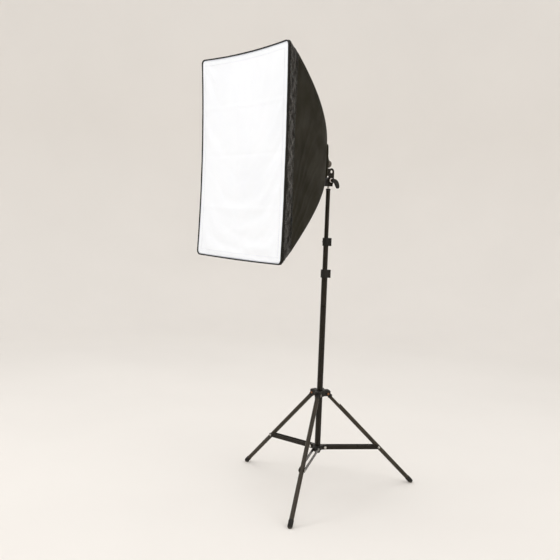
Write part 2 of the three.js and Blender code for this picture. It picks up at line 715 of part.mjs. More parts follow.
const DIFFUSER_SET = 3;          // how far the sheet lies behind the front of the hem

function diffuser() {
  const inset = HEM.width + GAP;
  const { halfWidth, halfHeight, corner } = FACE;
  const sheet = roundedRectangle(halfWidth - inset, halfHeight - inset, corner - inset);
  const back = FACE.y + DIFFUSER_SET + CLOTH;
  return plateAcrossY(sheet, [back - CLOTH, back], 6).translate(0, 0, FACE.z);
}

// Sections of the gathered back of the cover, from the panels to the lamp holder: depth,
// half width, half height, and how square the section is (2 is an ellipse).
const CUFF_SECTIONS = [
  { depth: 53.7, halfWidth: 0, halfHeight: 0, square: 30 },
  { depth: 46, halfWidth: 46.5, halfHeight: 63, square: 12 },
  { depth: 38, halfWidth: 37.6, halfHeight: 43, square: 2.6 },
  { depth: 32, halfWidth: 35.8, halfHeight: 37, square: 2 },
  { depth: CUFF_BACK, halfWidth: 27.5, halfHeight: 27.5, square: 2 },
];
const CUFF_SIDES = 40;
const CUFF_LIFT = 4;             // the first sections stand higher than the lamp holder

// The gathered back of the cover: a sleeve that closes from the panels' rear edge to the
// lamp holder, square at first and then round.
function rearCuff() {
  const rings = CUFF_SECTIONS.map(({ depth, halfWidth, halfHeight, square }, i) => {
    const wide = i === 0 ? outlineAt(coverOutline('wall', 0), -COVER_BACK) : halfWidth;
    const high = i === 0 ? (wide * FACE.halfHeight) / FACE.halfWidth : halfHeight;
    const lift = Math.max(0, CUFF_LIFT * (1 - i / 3));
    return { depth, wide, high, square, lift };
  });
  const loop = [
    ...rings.map((ring) => ({ ...ring, inset: 0 })),
    ...rings.map((ring) => ({ ...ring, inset: CLOTH })).reverse(),
  ];
  const positions = [];
  for (const { depth, wide, high, square, lift, inset } of loop) {
    for (let k = 0; k < CUFF_SIDES; k += 1) {
      const angle = ((k + 0.5) / CUFF_SIDES) * 2 * Math.PI;
      const [c, d] = [Math.cos(angle), Math.sin(angle)];
      const size = (Math.abs(c) ** square + Math.abs(d) ** square) ** (-1 / square);
      const x = (wide - inset) * c * size;
      const z = LAMP_HEIGHT + lift + (high - inset) * d * size;
      positions.push(x, -depth, z);
    }
  }
  const index = [];
  for (let i = 0; i < loop.length; i += 1) {
    const next = (i + 1) % loop.length;
    for (let k = 0; k < CUFF_SIDES; k += 1) {
      const after = (k + 1) % CUFF_SIDES;
      const [a, b] = [i * CUFF_SIDES + k, i * CUFF_SIDES + after];
      const [c, d] = [next * CUFF_SIDES + k, next * CUFF_SIDES + after];
      index.push(a, c, b, b, c, d);
    }
  }
  const sleeve = new THREE.BufferGeometry();
  sleeve.setAttribute('position', new THREE.Float32BufferAttribute(positions, 3));
  sleeve.setIndex(index);
  return sleeve;
}

const STAY = { root: 46, tip: COVER_FRONT - 4, steps: 14 };

// The centre line of a stay: as far inside both walls as its own radius needs.
function stayCurve(right, up) {
  const inset = CLOTH + 2 * GAP + ROD_RADIUS;
  const wall = coverOutline('wall', inset);
  const rail = coverOutline(up > 0 ? 'top' : 'bottom', inset);
  const points = Array.from({ length: BOW_STEPS + 1 }, (_, i) => {
    const y = THREE.MathUtils.lerp(-STAY.root, -STAY.tip, i / BOW_STEPS);
    return new THREE.Vector3(right * outlineAt(wall, y), y, outlineAt(rail, y));
  });
  return new THREE.CatmullRomCurve3(points);
}

const CORNERS = [[1, 1], [-1, 1], [-1, -1], [1, -1]];

function stay(right, up) {
  const section = new THREE.Shape().absarc(0, 0, ROD_RADIUS, 0, 2 * Math.PI, false);
  return new THREE.ExtrudeGeometry(section, {
    steps: STAY.steps,
    extrudePath: stayCurve(right, up),
    curveSegments: 3,
    bevelEnabled: false,
  });
}

const RING_ARM = { radius: 3.4, x: 19, z: 22 };
const STAY_TUBE = { radius: 3.8, back: -3, front: 7, play: 0.7 };

// The ring that the stays spring from, with a blind tube for the end of each one.
function speedRing() {
  let ring = turnedOnLamp([
    [RING.bore, RING.back], [RING.radius, RING.back], [RING.radius, RING.front], [RING.bore, RING.front],
  ]);
  for (const [right, up] of CORNERS) {
    const curve = stayCurve(right, up);
    const root = curve.getPoint(0);
    const along = curve.getTangent(0.01).normalize();
    const seat = root.clone().addScaledVector(along, -GAP);
    const aim = new THREE.Quaternion().setFromUnitVectors(new THREE.Vector3(0, 0, 1), along);
    const foot = new THREE.Vector3(
      right * RING_ARM.x,
      RING.front + 4,
      LAMP_HEIGHT + up * RING_ARM.z,
    );
    const armLength = foot.distanceTo(seat);
    const armAim = new THREE.Quaternion().setFromUnitVectors(
      new THREE.Vector3(0, 0, 1),
      seat.clone().sub(foot).normalize(),
    );
    const arm = rod(RING_ARM.radius, 0, armLength + 2, 8)
      .applyQuaternion(armAim)
      .translate(...foot.toArray());
    const tube = rod(STAY_TUBE.radius, STAY_TUBE.back, STAY_TUBE.front, 10)
      .applyQuaternion(aim)
      .translate(...seat.toArray());
    const bore = rod(ROD_RADIUS + STAY_TUBE.play, 0, 2 * STAY_TUBE.front, 10)
      .applyQuaternion(aim)
      .translate(...seat.toArray());
    ring = cut(join(ring, arm, tube), bore);
  }
  const throat = rod(RING.bore, -60, 60).rotateX(Math.PI / 2).translate(0, -50, LAMP_HEIGHT);
  return cut(ring, throat);
}

function buildSoftbox() {
  place(model, 'speed_ring', speedRing(), zinc);
  CORNERS.forEach(([right, up], i) => {
    place(model, `stay_rod_${i + 1}`, stay(right, up), stayRod);
  });
  for (const side of ['top', 'bottom', 'left', 'right']) {
    place(model, `panel_${side}`, coverPanel(side), blackNylon);
  }
  place(model, 'rear_cuff', rearCuff(), blackNylon);
  place(model, 'front_band', frontBand(), glossNylon);
  place(model, 'front_hem', frontHem(), blackNylon);
  place(model, 'diffuser', diffuser(), whiteCloth);
}

// ---------------------------------------------------------------- assembly

buildPole();
buildTripod();
buildBracket();
buildLamp();
buildSoftbox();

const bounds = new THREE.Box3().setFromObject(model, true);
const middle = bounds.getCenter(new THREE.Vector3());
model.position.set(-middle.x, -middle.y, -bounds.min.z);

const softbox = new THREE.Group();
softbox.add(model);

export default softbox;
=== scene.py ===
import json
import math

import bmesh
import bpy
import numpy as np
from mathutils import Matrix, Vector

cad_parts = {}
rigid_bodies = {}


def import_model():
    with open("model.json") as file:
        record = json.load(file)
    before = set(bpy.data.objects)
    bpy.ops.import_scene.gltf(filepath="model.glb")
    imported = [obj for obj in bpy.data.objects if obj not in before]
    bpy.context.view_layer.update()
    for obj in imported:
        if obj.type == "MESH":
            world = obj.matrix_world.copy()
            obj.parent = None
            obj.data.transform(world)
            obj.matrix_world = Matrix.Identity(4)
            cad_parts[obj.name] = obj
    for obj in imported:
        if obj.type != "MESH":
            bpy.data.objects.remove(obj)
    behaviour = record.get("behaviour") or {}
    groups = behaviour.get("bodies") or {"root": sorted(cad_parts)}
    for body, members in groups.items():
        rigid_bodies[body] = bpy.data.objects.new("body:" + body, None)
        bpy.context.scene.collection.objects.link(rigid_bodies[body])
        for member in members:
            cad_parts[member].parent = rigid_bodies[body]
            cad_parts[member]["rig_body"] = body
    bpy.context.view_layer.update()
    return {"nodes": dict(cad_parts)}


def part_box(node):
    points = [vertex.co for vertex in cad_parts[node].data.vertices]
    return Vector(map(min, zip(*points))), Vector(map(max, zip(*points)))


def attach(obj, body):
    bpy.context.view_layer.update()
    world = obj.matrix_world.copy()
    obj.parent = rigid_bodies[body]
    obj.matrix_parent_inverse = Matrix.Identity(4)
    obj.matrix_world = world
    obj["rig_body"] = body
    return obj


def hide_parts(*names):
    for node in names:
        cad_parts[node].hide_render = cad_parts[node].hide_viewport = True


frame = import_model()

# ------------------------------------------------------------------ camera
# The whole stand seen from its front left quarter, a little above the middle of the pole,
# with the slight tilt of a hand-held view.

pole_low, pole_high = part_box("lower_tube")
POLE = Vector(((pole_low.x + pole_high.x) / 2, (pole_low.y + pole_high.y) / 2, 0))
CAMERA_FROM_POLE = Vector((2.1871, -1.8881, 1.0804))
CAMERA_HEADING = math.radians(52.53)
CAMERA_PITCH = -0.0947
CAMERA_ROLL = 0.0364
SENSOR_WIDTH = 36
LENS = 49.19

camera = bpy.data.objects.new("studio_camera", bpy.data.cameras.new("studio_camera"))
camera.data.sensor_width = SENSOR_WIDTH
camera.data.lens = LENS
camera.matrix_world = (
    Matrix.Translation(POLE + CAMERA_FROM_POLE)
    @ Matrix.Rotation(CAMERA_HEADING, 4, "Z")
    @ Matrix.Rotation(math.pi / 2 + CAMERA_PITCH, 4, "X")
    @ Matrix.Rotation(CAMERA_ROLL, 4, "Z")
)
bpy.context.scene.collection.objects.link(camera)
bpy.context.scene.camera = camera

# ------------------------------------------------------------------ studio
# A pale painted floor that sweeps up into a wall all round, so that the object has the
# same plain surround from any side. Lamps overhead and at both sides light it softly.


def linear(colour):
    """The linear colour of an sRGB hex value."""
    parts = [int(colour[i : i + 2], 16) / 255 for i in (1, 3, 5)]
    bent = [c / 12.92 if c <= 0.04045 else ((c + 0.055) / 1.055) ** 2.4 for c in parts]
    return (*bent, 1.0)


def add(tree, kind, inputs=(), **settings):
    """Adds a node with its settings. Each input is a value, or the socket that feeds it."""
    node = tree.nodes.new(kind)
    for name, value in settings.items():
        setattr(node, name, value)
    for key, value in dict(inputs).items():
        if isinstance(value, bpy.types.NodeSocket):
            tree.links.new(value, node.inputs[key])
        else:
            node.inputs[key].default_value = value
    return node


def coated(name, tones, patch_mm, gloss, grain_mm, relief_mm, **surface):
    """A finish whose colour and roughness drift from patch to patch over a grained skin.
    Sizes are in millimetres, and a noise of scale 1000 / size repeats at about that size.
    Returns the material, its tree, its object coordinates and its surface shader."""
    material = bpy.data.materials.new(name)
    material.use_nodes = True
    tree = material.node_tree
    tree.nodes.clear()
    where = add(tree, "ShaderNodeTexCoord").outputs["Object"]
    patches = add(
        tree, "ShaderNodeTexNoise", {"Vector": where, "Scale": 1000 / patch_mm, "Detail": 4.0}
    ).outputs[0]
    share = add(
        tree, "ShaderNodeMapRange", {"Value": patches, "From Min": 0.3, "From Max": 0.7}
    ).outputs[0]
    colour = add(
        tree, "ShaderNodeMix", {0: share, 6: linear(tones[0]), 7: linear(tones[1])},
        data_type="RGBA",
    ).outputs[2]
    wear = add(
        tree, "ShaderNodeTexNoise", {"Vector": where, "Scale": 2300 / patch_mm, "Detail": 6.0}
    ).outputs[0]
    roughness = add(
        tree, "ShaderNodeMapRange",
        {"Value": wear, "From Min": 0.3, "From Max": 0.7, "To Min": gloss[0], "To Max": gloss[1]},
    ).outputs[0]
    grain = add(
        tree, "ShaderNodeTexNoise", {"Vector": where, "Scale": 1000 / grain_mm, "Detail": 2.0}
    ).outputs[0]
    skin = add(
        tree, "ShaderNodeBump",
        {"Height": grain, "Strength": 1.0, "Distance": relief_mm / 1000},
    ).outputs[0]
    shader = add(
        tree, "ShaderNodeBsdfPrincipled",
        {"Base Color": colour, "Roughness": roughness, "Normal": skin, **surface},
    )
    add(tree, "ShaderNodeOutputMaterial", {"Surface": shader.outputs[0]})
    return material, tree, where, shader


def made(name, points, faces, material, smooth_below=40):
    """A mesh object at the origin, with its faces outward and its shading smooth."""
    mesh = bpy.data.meshes.new(name)
    mesh.from_pydata([tuple(p) for p in points], [], [tuple(f) for f in faces])
    mesh.shade_smooth()
    mesh.set_sharp_from_angle(angle=math.radians(smooth_below))
    mesh.materials.append(material)
    piece = bpy.data.objects.new(name, mesh)
    bpy.context.scene.collection.objects.link(piece)
    return piece


FLOOR_RADIUS = 3.3
SWEEP_RADIUS = 1.9
WALL_TOP = 3.6
FLOOR_RINGS = 12
TURN_STEPS = 96
AIR_BRIGHTNESS = 0.97

# Matt emulsion on board: a pale warm grey with only a breath of roller texture.
paint = coated(
    "matt_studio_paint", ("#e9e5e0", "#ece8e3"), 900, (0.85, 0.95), 4, 0.05
)[0]
outline = [(0.0, 0.0)]
outline += [(FLOOR_RADIUS * i / FLOOR_RINGS, 0.0) for i in range(1, FLOOR_RINGS + 1)]
outline += [
    (FLOOR_RADIUS + SWEEP_RADIUS * math.sin(a), SWEEP_RADIUS * (1 - math.cos(a)))
    for a in np.radians(np.arange(5, 91, 5))
]
outline += [(FLOOR_RADIUS + SWEEP_RADIUS, WALL_TOP)]
points, faces = [], []
for radius, height in outline:
    for k in range(TURN_STEPS):
        angle = 2 * math.pi * k / TURN_STEPS
        points.append((radius * math.cos(angle), radius * math.sin(angle), height))
for i in range(len(outline) - 1):
    for k in range(TURN_STEPS):
        after = (k + 1) % TURN_STEPS
        faces.append((
            i * TURN_STEPS + k, (i + 1) * TURN_STEPS + k,
            (i + 1) * TURN_STEPS + after, i * TURN_STEPS + after,
        ))
floor = made("studio_floor", points, faces, paint)

world = bpy.data.worlds.new("studio_air")
world.use_nodes = True
world.node_tree.nodes["Background"].inputs[0].default_value = linear("#ffffff")
world.node_tree.nodes["Background"].inputs[1].default_value = AIR_BRIGHTNESS
bpy.context.scene.world = world


def softlight(name, place, aim, size, watts, colour):
    """A round lamp at a place, turned to face its aim."""
    lamp = bpy.data.objects.new(name, bpy.data.lights.new(name, "AREA"))
    lamp.data.shape = "DISK"
    lamp.data.size = size
    lamp.data.energy = watts
    lamp.data.color = linear(colour)[:3]
    lamp.location = place
    lamp.rotation_euler = (Vector(aim) - Vector(place)).to_track_quat("-Z", "Y").to_euler()
    bpy.context.scene.collection.objects.link(lamp)


softlight("overhead_softlight", (0.2, -0.6, 3.5), (0, 0, 0.4), 3.0, 22, "#fffdfb")
softlight("left_softlight", (-1.4, -3.0, 2.4), (0, 0, 0.9), 1.1, 16, "#fffefd")
softlight("right_softlight", (3.0, 0.4, 2.2), (0, 0, 0.9), 1.6, 11, "#fffcf9")
bpy.context.scene.view_settings.view_transform = "Standard"

# ------------------------------------------------------------------ pole tubes
# Three drawn aluminium tubes that slide one in another, powder-coated satin black. The two
# that slide carry fine lengthwise rubbing marks from the collars.

MERGE_WITHIN = 2e-5
FLAT_WITHIN = math.radians(0.6)


def finished(node, material, bevel_mm=0.4, smooth_below=40):
    """A CAD node's own shape with its edges eased and its round faces shaded smooth."""
    source = frame["nodes"][node]
    shape = bmesh.new()
    shape.from_mesh(source.data)
    bmesh.ops.remove_doubles(shape, verts=shape.verts, dist=MERGE_WITHIN)
    bmesh.ops.dissolve_limit(
        shape, angle_limit=FLAT_WITHIN, verts=shape.verts, edges=shape.edges
    )
    mesh = bpy.data.meshes.new(node + "_finished")
    shape.to_mesh(mesh)
    shape.free()
    mesh.shade_smooth()
    mesh.set_sharp_from_angle(angle=math.radians(smooth_below))
    mesh.materials.clear()
    mesh.materials.append(material)
    piece = bpy.data.objects.new(node + "_finished", mesh)
    bpy.context.scene.collection.objects.link(piece)
    if bevel_mm:
        edges = piece.modifiers.new("eased_edges", "BEVEL")
        edges.width = bevel_mm / 1000
        edges.segments = 2
        edges.limit_method = "ANGLE"
        edges.angle_limit = math.radians(smooth_below)
        edges.harden_normals = True
    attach(piece, source["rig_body"])
    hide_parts(node)
    return piece


# Satin powder coat: brown-black, a soft highlight, the faint orange peel of baked powder.
powder_coat = coated(
    "satin_powder_coat", ("#17120a", "#201a0f"), 60, (0.26, 0.36), 1.6, 0.02,
    **{"Specular IOR Level": 0.22},
)[0]
# The same coat polished in hair-thin lengthwise lines where a collar has slid over it.
rubbed_coat, tree, where, shader = coated(
    "rubbed_powder_coat", ("#18130a", "#211b10"), 60, (0.26, 0.36), 1.6, 0.02,
    **{"Specular IOR Level": 0.22},
)
RUB_ALONG = 0.012
RUB_LINES_PER_METRE = 1400.0
stretched = add(
    tree, "ShaderNodeMapping", {"Vector": where, "Scale": (1.0, 1.0, RUB_ALONG)}
).outputs[0]
marks = add(
    tree, "ShaderNodeTexNoise", {"Vector": stretched, "Scale": RUB_LINES_PER_METRE, "Detail": 3.0}
).outputs[0]
mark_share = add(
    tree, "ShaderNodeMapRange",
    {"Value": marks, "From Min": 0.56, "From Max": 0.7, "To Max": 0.5},
).outputs[0]
under = shader.inputs["Base Color"].links[0].from_socket
marked = add(
    tree, "ShaderNodeMix", {0: mark_share, 6: under, 7: linear("#574f42")}, data_type="RGBA"
).outputs[2]
tree.links.new(marked, shader.inputs["Base Color"])

finished("lower_tube", powder_coat, 0.3)
finished("mid_tube", rubbed_coat, 0.3)
finished("top_tube", rubbed_coat, 0.3)

# ------------------------------------------------------------------ lock collars and knobs
# Glass-filled nylon collars with a square clamping lug, and a lobed hand knob for each.
# They are injection moulded, with the fine spark texture of the tool.

# Moulded nylon: slightly brown black, even and dull, with a leathery grain.
moulded_black = coated(
    "moulded_black_nylon", ("#15130f", "#1f1c17"), 40, (0.42, 0.56), 0.9, 0.05,
    **{"Specular IOR Level": 0.3},
)[0]
for node in ("lower_lock_collar", "upper_lock_collar"):
    finished(node, moulded_black, 0.9)
for node in ("lower_lock_knob", "upper_lock_knob", "leg_lock_knob"):
    finished(node, moulded_black, 0.5)

# ------------------------------------------------------------------ fasteners
# Turned and zinc-plated steel: the stud on top of the pole, the hub pins and the tilt
# bolt. The legs turn on copper-plated rivets, and the lever has a bush of the same.

# Bright zinc: cool pale metal, faintly cloudy, with a soft broken highlight.
zinc = coated(
    "bright_zinc_plate", ("#b5b3ad", "#d3d1cb"), 6, (0.22, 0.4), 0.7, 0.01, Metallic=1.0
)[0]
# Copper-plated rivet: warm red-brown, dulled where it has been handled.
copper = coated(
    "copper_plate", ("#775540", "#94694c"), 4, (0.28, 0.45), 0.6, 0.01, Metallic=1.0
)[0]
finished("stud", zinc, 0.3)
finished("tilt_bolt", zinc, 0.3)
for number in (1, 2, 3):
    finished(f"hub_pin_{number}", zinc, 0.8)
    finished(f"leg_pin_{number}", copper, 0.8)
finished("lever_bush", copper, 0.3)

# White nylon washer over the bolt: bright, a little translucent at its rim.
washer_nylon = coated(
    "white_nylon_washer", ("#e6e4df", "#f2f0ec"), 5, (0.35, 0.5), 0.8, 0.01
)[0]
WASHER_RADIUS, WASHER_BORE, WASHER_HOLE = 8.4, 7.9, 3.6
WASHER_FROM, WASHER_LIP, WASHER_TO = 11.0, 12.45, 12.55
WASHER_STEPS = 40
bolt_low, bolt_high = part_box("tilt_bolt")
bolt_y, bolt_z = (bolt_low.y + bolt_high.y) / 2, (bolt_low.z + bolt_high.z) / 2
WASHER_SECTION = [
    (WASHER_FROM, WASHER_BORE), (WASHER_FROM, WASHER_RADIUS),
    (WASHER_TO, WASHER_RADIUS), (WASHER_TO, WASHER_HOLE), (WASHER_LIP, WASHER_HOLE),
    (WASHER_LIP, WASHER_BORE),
]
points, faces = [], []
for x, radius in WASHER_SECTION:
    for k in range(WASHER_STEPS):
        angle = 2 * math.pi * k / WASHER_STEPS
        points.append((
            POLE.x + x / 1000, bolt_y + radius / 1000 * math.cos(angle),
            bolt_z + radius / 1000 * math.sin(angle),
        ))
for i in range(len(WASHER_SECTION)):
    after = (i + 1) % len(WASHER_SECTION)
    for k in range(WASHER_STEPS):
        turn = (k + 1) % WASHER_STEPS
        faces.append((
            i * WASHER_STEPS + k, after * WASHER_STEPS + k,
            after * WASHER_STEPS + turn, i * WASHER_STEPS + turn,
        ))
washer = made("tilt_washer", points, faces, washer_nylon)
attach(washer, frame["nodes"]["tilt_bolt"]["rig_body"])

# ------------------------------------------------------------------ legs
# Three steel tubes with moulded hinge caps and rubber boots, and the moulded collar and
# hub that spread them. Each boot is worn and dusty where it meets the floor.

# Moulded rubber: nearly black, dull, going grey with dust in its last few millimetres.
boot_rubber, tree, where, shader = coated(
    "boot_rubber", ("#161411", "#201e1a"), 12, (0.6, 0.8), 1.2, 0.06,
    **{"Specular IOR Level": 0.3},
)
DUST_HEIGHT = 0.009
height = add(tree, "ShaderNodeSeparateXYZ", {"Vector": where}).outputs["Z"]
dust = add(
    tree, "ShaderNodeMapRange",
    {"Value": height, "From Min": 0.0, "From Max": DUST_HEIGHT, "To Min": 0.55, "To Max": 0.0},
).outputs[0]
under = shader.inputs["Base Color"].links[0].from_socket
dusted = add(
    tree, "ShaderNodeMix", {0: dust, 6: under, 7: linear("#8a857c")}, data_type="RGBA"
).outputs[2]
tree.links.new(dusted, shader.inputs["Base Color"])

# Leg powder coat: painted lighter and browner for the overhead light on the legs, with a wider
# highlight.
leg_coat_painted_light = coated(
    "leg_powder_coat_painted_light", ("#2b251a", "#383024"), 50, (0.3, 0.42), 1.6, 0.02,
    **{"Specular IOR Level": 0.3},
)[0]

finished("leg_collar", moulded_black, 0.8)
finished("brace_hub", moulded_black, 0.8)
finished("hub_plug", boot_rubber, 0.5)
finished("top_cap", moulded_black, 0.3)
# The leg tubes take the lighter coat, which paints in the light falling on them from above.
for number in (1, 2, 3):
    finished(f"leg_tube_{number}", leg_coat_painted_light, 0.3)
    finished(f"leg_cap_{number}", moulded_black, 0.6)
    finished(f"leg_foot_{number}", boot_rubber, 0.5)
    for side in ("left", "right"):
        finished(f"brace_{number}_{side}", powder_coat, 0.35)

# ------------------------------------------------------------------ tilting bracket
# A cast block that screws onto the stud, a stamped steel plate with a round eye, and a
# moulded lever that clamps the two together.

finished("stand_socket", powder_coat, 0.6)
finished("tilt_arm", powder_coat, 0.4)
finished("tilt_lever", moulded_black, 0.9)

# ------------------------------------------------------------------ lamp holder and lamp
# A grey ABS housing with a domed rear cap and a rocker switch, a white socket and a large
# spiral fluorescent lamp.

# Moulded ABS: warm mid grey with a fine matt grain and a soft sheen.
grey_abs = coated(
    "grey_moulded_abs", ("#4d453a", "#5a5246"), 45, (0.42, 0.56), 0.8, 0.04
)[0]
finished("lamp_housing", grey_abs, 0.6)
finished("rear_cap", grey_abs, 0.5)
finished("cord_gland", boot_rubber, 0.3)
finished("rocker_switch", moulded_black, 0.4)

# White PBT: clean and slightly warm, with the gloss of a polished mould.
white_pbt = coated(
    "white_moulded_pbt", ("#dedad0", "#eae7de"), 30, (0.3, 0.42), 1.5, 0.02
)[0]
# Phosphor-coated glass: chalk white under a thin clear gloss.
lamp_glass = coated(
    "coated_lamp_glass", ("#f1efe8", "#fbfaf6"), 15, (0.12, 0.2), 2.0, 0.01,
    **{"Coat Weight": 0.6, "Coat Roughness": 0.06},
)[0]
finished("lamp_socket", white_pbt, 0.4)
finished("bulb_ballast", white_pbt, 0.8)
finished("bulb_base", copper, 0.4)
finished("bulb_spiral", lamp_glass, 0, 60)

# ------------------------------------------------------------------ ring and stays
# A die-cast ring on the lamp housing, and four sprung steel stays that are pushed into it
# and bowed outward to keep the cover taut. Both are bare, bright metal.

finished("speed_ring", zinc, 0.4)
for number in (1, 2, 3, 4):
    finished(f"stay_rod_{number}", zinc, 0, 60)

# ------------------------------------------------------------------ cover
# Four panels of black oxford nylon with a silver lining, sewn together along the stays
# and pulled taut by their spring. Between the stays the cloth draws in, and it creases
# from the lower front corners toward the lamp holder.

# Depths are forward of the pole's axis and heights above the floor, in millimetres.
MM = 0.001
FACE_DEPTH = 409.3
FACE_HEIGHT = 1249.0
LAMP_HEIGHT = 1251.0
HALF_WIDTH = 257.5
HALF_HEIGHT = 353.0
BOW_REACH = 430.0
BOW_LIFT = 12.4
COVER_BACK = 53.8
BAND_BACK = 349.0
COVER_FRONT = 399.0
SEAM_CORNER = 2.5
SIDE_PULL, SIDE_BELLY = 3.7, 7.0
TOP_SAG, TOP_BELLY = 6.5, 5.0
BOTTOM_SAG, BOTTOM_LIFT = 3.5, 3.0
CORNER_LEAD = 8.0
# A loaded stay's curve as reach from the centre line against depth, by four control points.
BOW_POINTS = np.array([(37.4, 37.4), (201.5, 94.3), (385.4, 356.8), (430.0, 399.3)])
BOW_SAMPLES = 600

bow_t = np.linspace(0, 1, BOW_SAMPLES)[:, None]
BOW = (
    (1 - bow_t) ** 3 * BOW_POINTS[0] + 3 * (1 - bow_t) ** 2 * bow_t * BOW_POINTS[1]
    + 3 * (1 - bow_t) * bow_t**2 * BOW_POINTS[2] + bow_t**3 * BOW_POINTS[3]
)
BOW_LENGTH = np.concatenate([[0], np.cumsum(np.hypot(*np.diff(BOW, axis=0).T))])


def along_bow(back, front, spacing):
    """Reach, depth and length along a stay between two depths, evenly spaced."""
    first, last = np.interp((back, front), BOW[:, 1], BOW_LENGTH)
    steps = max(2, round((last - first) / spacing))
    lengths = np.linspace(first, last, steps + 1)
    reach = np.interp(lengths, BOW_LENGTH, BOW[:, 0])
    depth = np.interp(lengths, BOW_LENGTH, BOW[:, 1])
    return reach, depth, lengths - first


def middle_height(reach, depth):
    """Height of the middle of the box, which the loaded stays lift at mid-reach."""
    share = reach / BOW_REACH
    return (
        FACE_HEIGHT + (LAMP_HEIGHT - FACE_HEIGHT) * (1 - depth / FACE_DEPTH)
        + BOW_LIFT * 4 * share * (1 - share)
    )


def half_sizes(reach):
    """Half the width and half the height of the box where a stay has a given reach."""
    return HALF_WIDTH * reach / BOW_REACH, HALF_HEIGHT * reach / BOW_REACH


def section(half_x, half_z, corner, across, up, arc):
    """A closed section with round corners: points, and which of them lie on a corner."""
    ring, on_corner = [], []
    spots = [(1, 1), (-1, 1), (-1, -1), (1, -1)]
    for side in range(4):
        sx, sz = spots[side]
        for k in range(arc + 1):
            angle = math.radians(90 * side + 90 * k / arc)
            ring.append((
                sx * (half_x - corner) + corner * math.cos(angle),
                sz * (half_z - corner) + corner * math.sin(angle),
            ))
            on_corner.append(True)
        nx, nz = spots[(side + 1) % 4]
        steps = across if side % 2 == 0 else up
        start = np.array(ring[-1])
        end = np.array((
            nx * (half_x - corner) + corner * math.cos(angle),
            nz * (half_z - corner) + corner * math.sin(angle),
        ))
        for k in range(1, steps):
            ring.append(tuple(start + (end - start) * k / steps))
            on_corner.append(False)
    return np.array(ring), np.array(on_corner)


def in_frame(x, depth, z):
    """Millimetres about the pole axis, turned into the model's own metres."""
    return np.stack([
        POLE.x + np.asarray(x) * MM,
        POLE.y - np.asarray(depth) * MM + 0 * np.asarray(x),
        np.asarray(z) * MM,
    ], axis=-1)


def drawn_in(x, z, half_x, half_z, share):
    """Where cloth between the four corners goes when the stays stretch it: the sides come
    inward and the top sinks, and the bottom lifts at mid-length and hangs at the front.
    Share is how far along the cover it is. Returns x and z."""
    u, w = x / half_x, z / half_z
    side = np.clip((np.abs(u) - 0.98) / 0.02, 0, 1) * (1 - w**2)
    end = np.clip((np.abs(w) - 0.98) / 0.02, 0, 1) * (1 - u**2)
    belly = math.sin(math.pi * min(share / 0.87, 1.0)) ** 0.8
    x = x - np.sign(x) * side * (SIDE_PULL * share + SIDE_BELLY * belly)
    top = TOP_SAG * share + TOP_BELLY * belly
    bottom = BOTTOM_SAG * share - BOTTOM_LIFT * belly
    z = z - end * np.where(w > 0, top, bottom)
    return x, z


def front_set_back(x, z, half_x, half_z):
    """How far the front lies behind its four corners, in millimetres."""
    return CORNER_LEAD * (1 - (x / half_x) ** 2 * (z / half_z) ** 2)


def loop_sheet(name, rows, lengths, material):
    """A cloth sleeve from closed rows of points. Its UV map, cut, is in metres: round by
    the last row's girth, and along by the lengths given."""
    count = len(rows[0])
    points = np.concatenate(rows)
    faces = [
        (
            i * count + k, i * count + (k + 1) % count,
            (i + 1) * count + (k + 1) % count, (i + 1) * count + k,
        )
        for i in range(len(rows) - 1)
        for k in range(count)
    ]
    sleeve = made(name, points, faces, material, 180)
    girths = np.linalg.norm(np.roll(rows[-1], -1, axis=0) - rows[-1], axis=1)
    girth = np.concatenate([[0], np.cumsum(girths)])
    flat = []
    for i in range(len(rows) - 1):
        low, high = lengths[i] * MM, lengths[i + 1] * MM
        for k in range(count):
            flat += [(girth[k], low), (girth[k + 1], low), (girth[k + 1], high), (girth[k], high)]
    sleeve.data.uv_layers.new(name="cut").data.foreach_set(
        "uv", np.array(flat, np.float32).ravel()
    )
    return sleeve


def settle(cloth, held, frames, slack, limit_mm, gravity, bending, seed, uneven_mm, calm):
    """Lets a sheet held at some of its vertices find its own folds. Slack is how much
    longer the cloth is than the space that it spans, and no point moves past the limit.
    Calm is how many times each point's move is averaged with its neighbours'."""
    start = np.array([v.co for v in cloth.data.vertices])
    jitter = np.random.default_rng(seed).normal(0, uneven_mm * MM, start.shape)
    jitter[held] = 0
    cloth.data.vertices.foreach_set("co", (start + jitter).astype(np.float32).ravel())
    pins = cloth.vertex_groups.new(name="held")
    pins.add([int(i) for i in np.flatnonzero(held)], 1.0, "REPLACE")
    modifier = cloth.modifiers.new("cloth", "CLOTH")
    fabric = modifier.settings
    fabric.vertex_group_mass = "held"
    fabric.quality = 6
    fabric.mass = 0.002
    fabric.tension_stiffness = 12
    fabric.compression_stiffness = 12
    fabric.shear_stiffness = 4
    fabric.bending_stiffness = bending
    fabric.shrink_min = -slack
    fabric.effector_weights.gravity = gravity
    modifier.collision_settings.use_collision = False
    modifier.point_cache.frame_start = 1
    modifier.point_cache.frame_end = frames
    for number in range(1, frames + 1):
        bpy.context.scene.frame_set(number)
    evaluated = cloth.evaluated_get(bpy.context.evaluated_depsgraph_get())
    end = np.array([v.co for v in evaluated.data.vertices])
    cloth.modifiers.remove(modifier)
    cloth.vertex_groups.remove(pins)
    move = end - start
    pairs = np.array([e.vertices[:] for e in cloth.data.edges])
    for _ in range(calm):
        total, shares = move.copy(), np.ones((len(move), 1))
        for one, other in (pairs.T, pairs.T[::-1]):
            np.add.at(total, one, move[other])
            np.add.at(shares, one, 1)
        move = np.where(held[:, None], move, total / shares)
    size = np.linalg.norm(move, axis=1, keepdims=True)
    move *= np.minimum(1, limit_mm * MM / np.maximum(size, 1e-9))
    cloth.data.vertices.foreach_set("co", (start + move).astype(np.float32).ravel())
    cloth.data.update()
    bpy.context.scene.frame_set(1)


# A wave texture of scale 1 repeats every 314 mm.
WAVE_PERIOD = 314


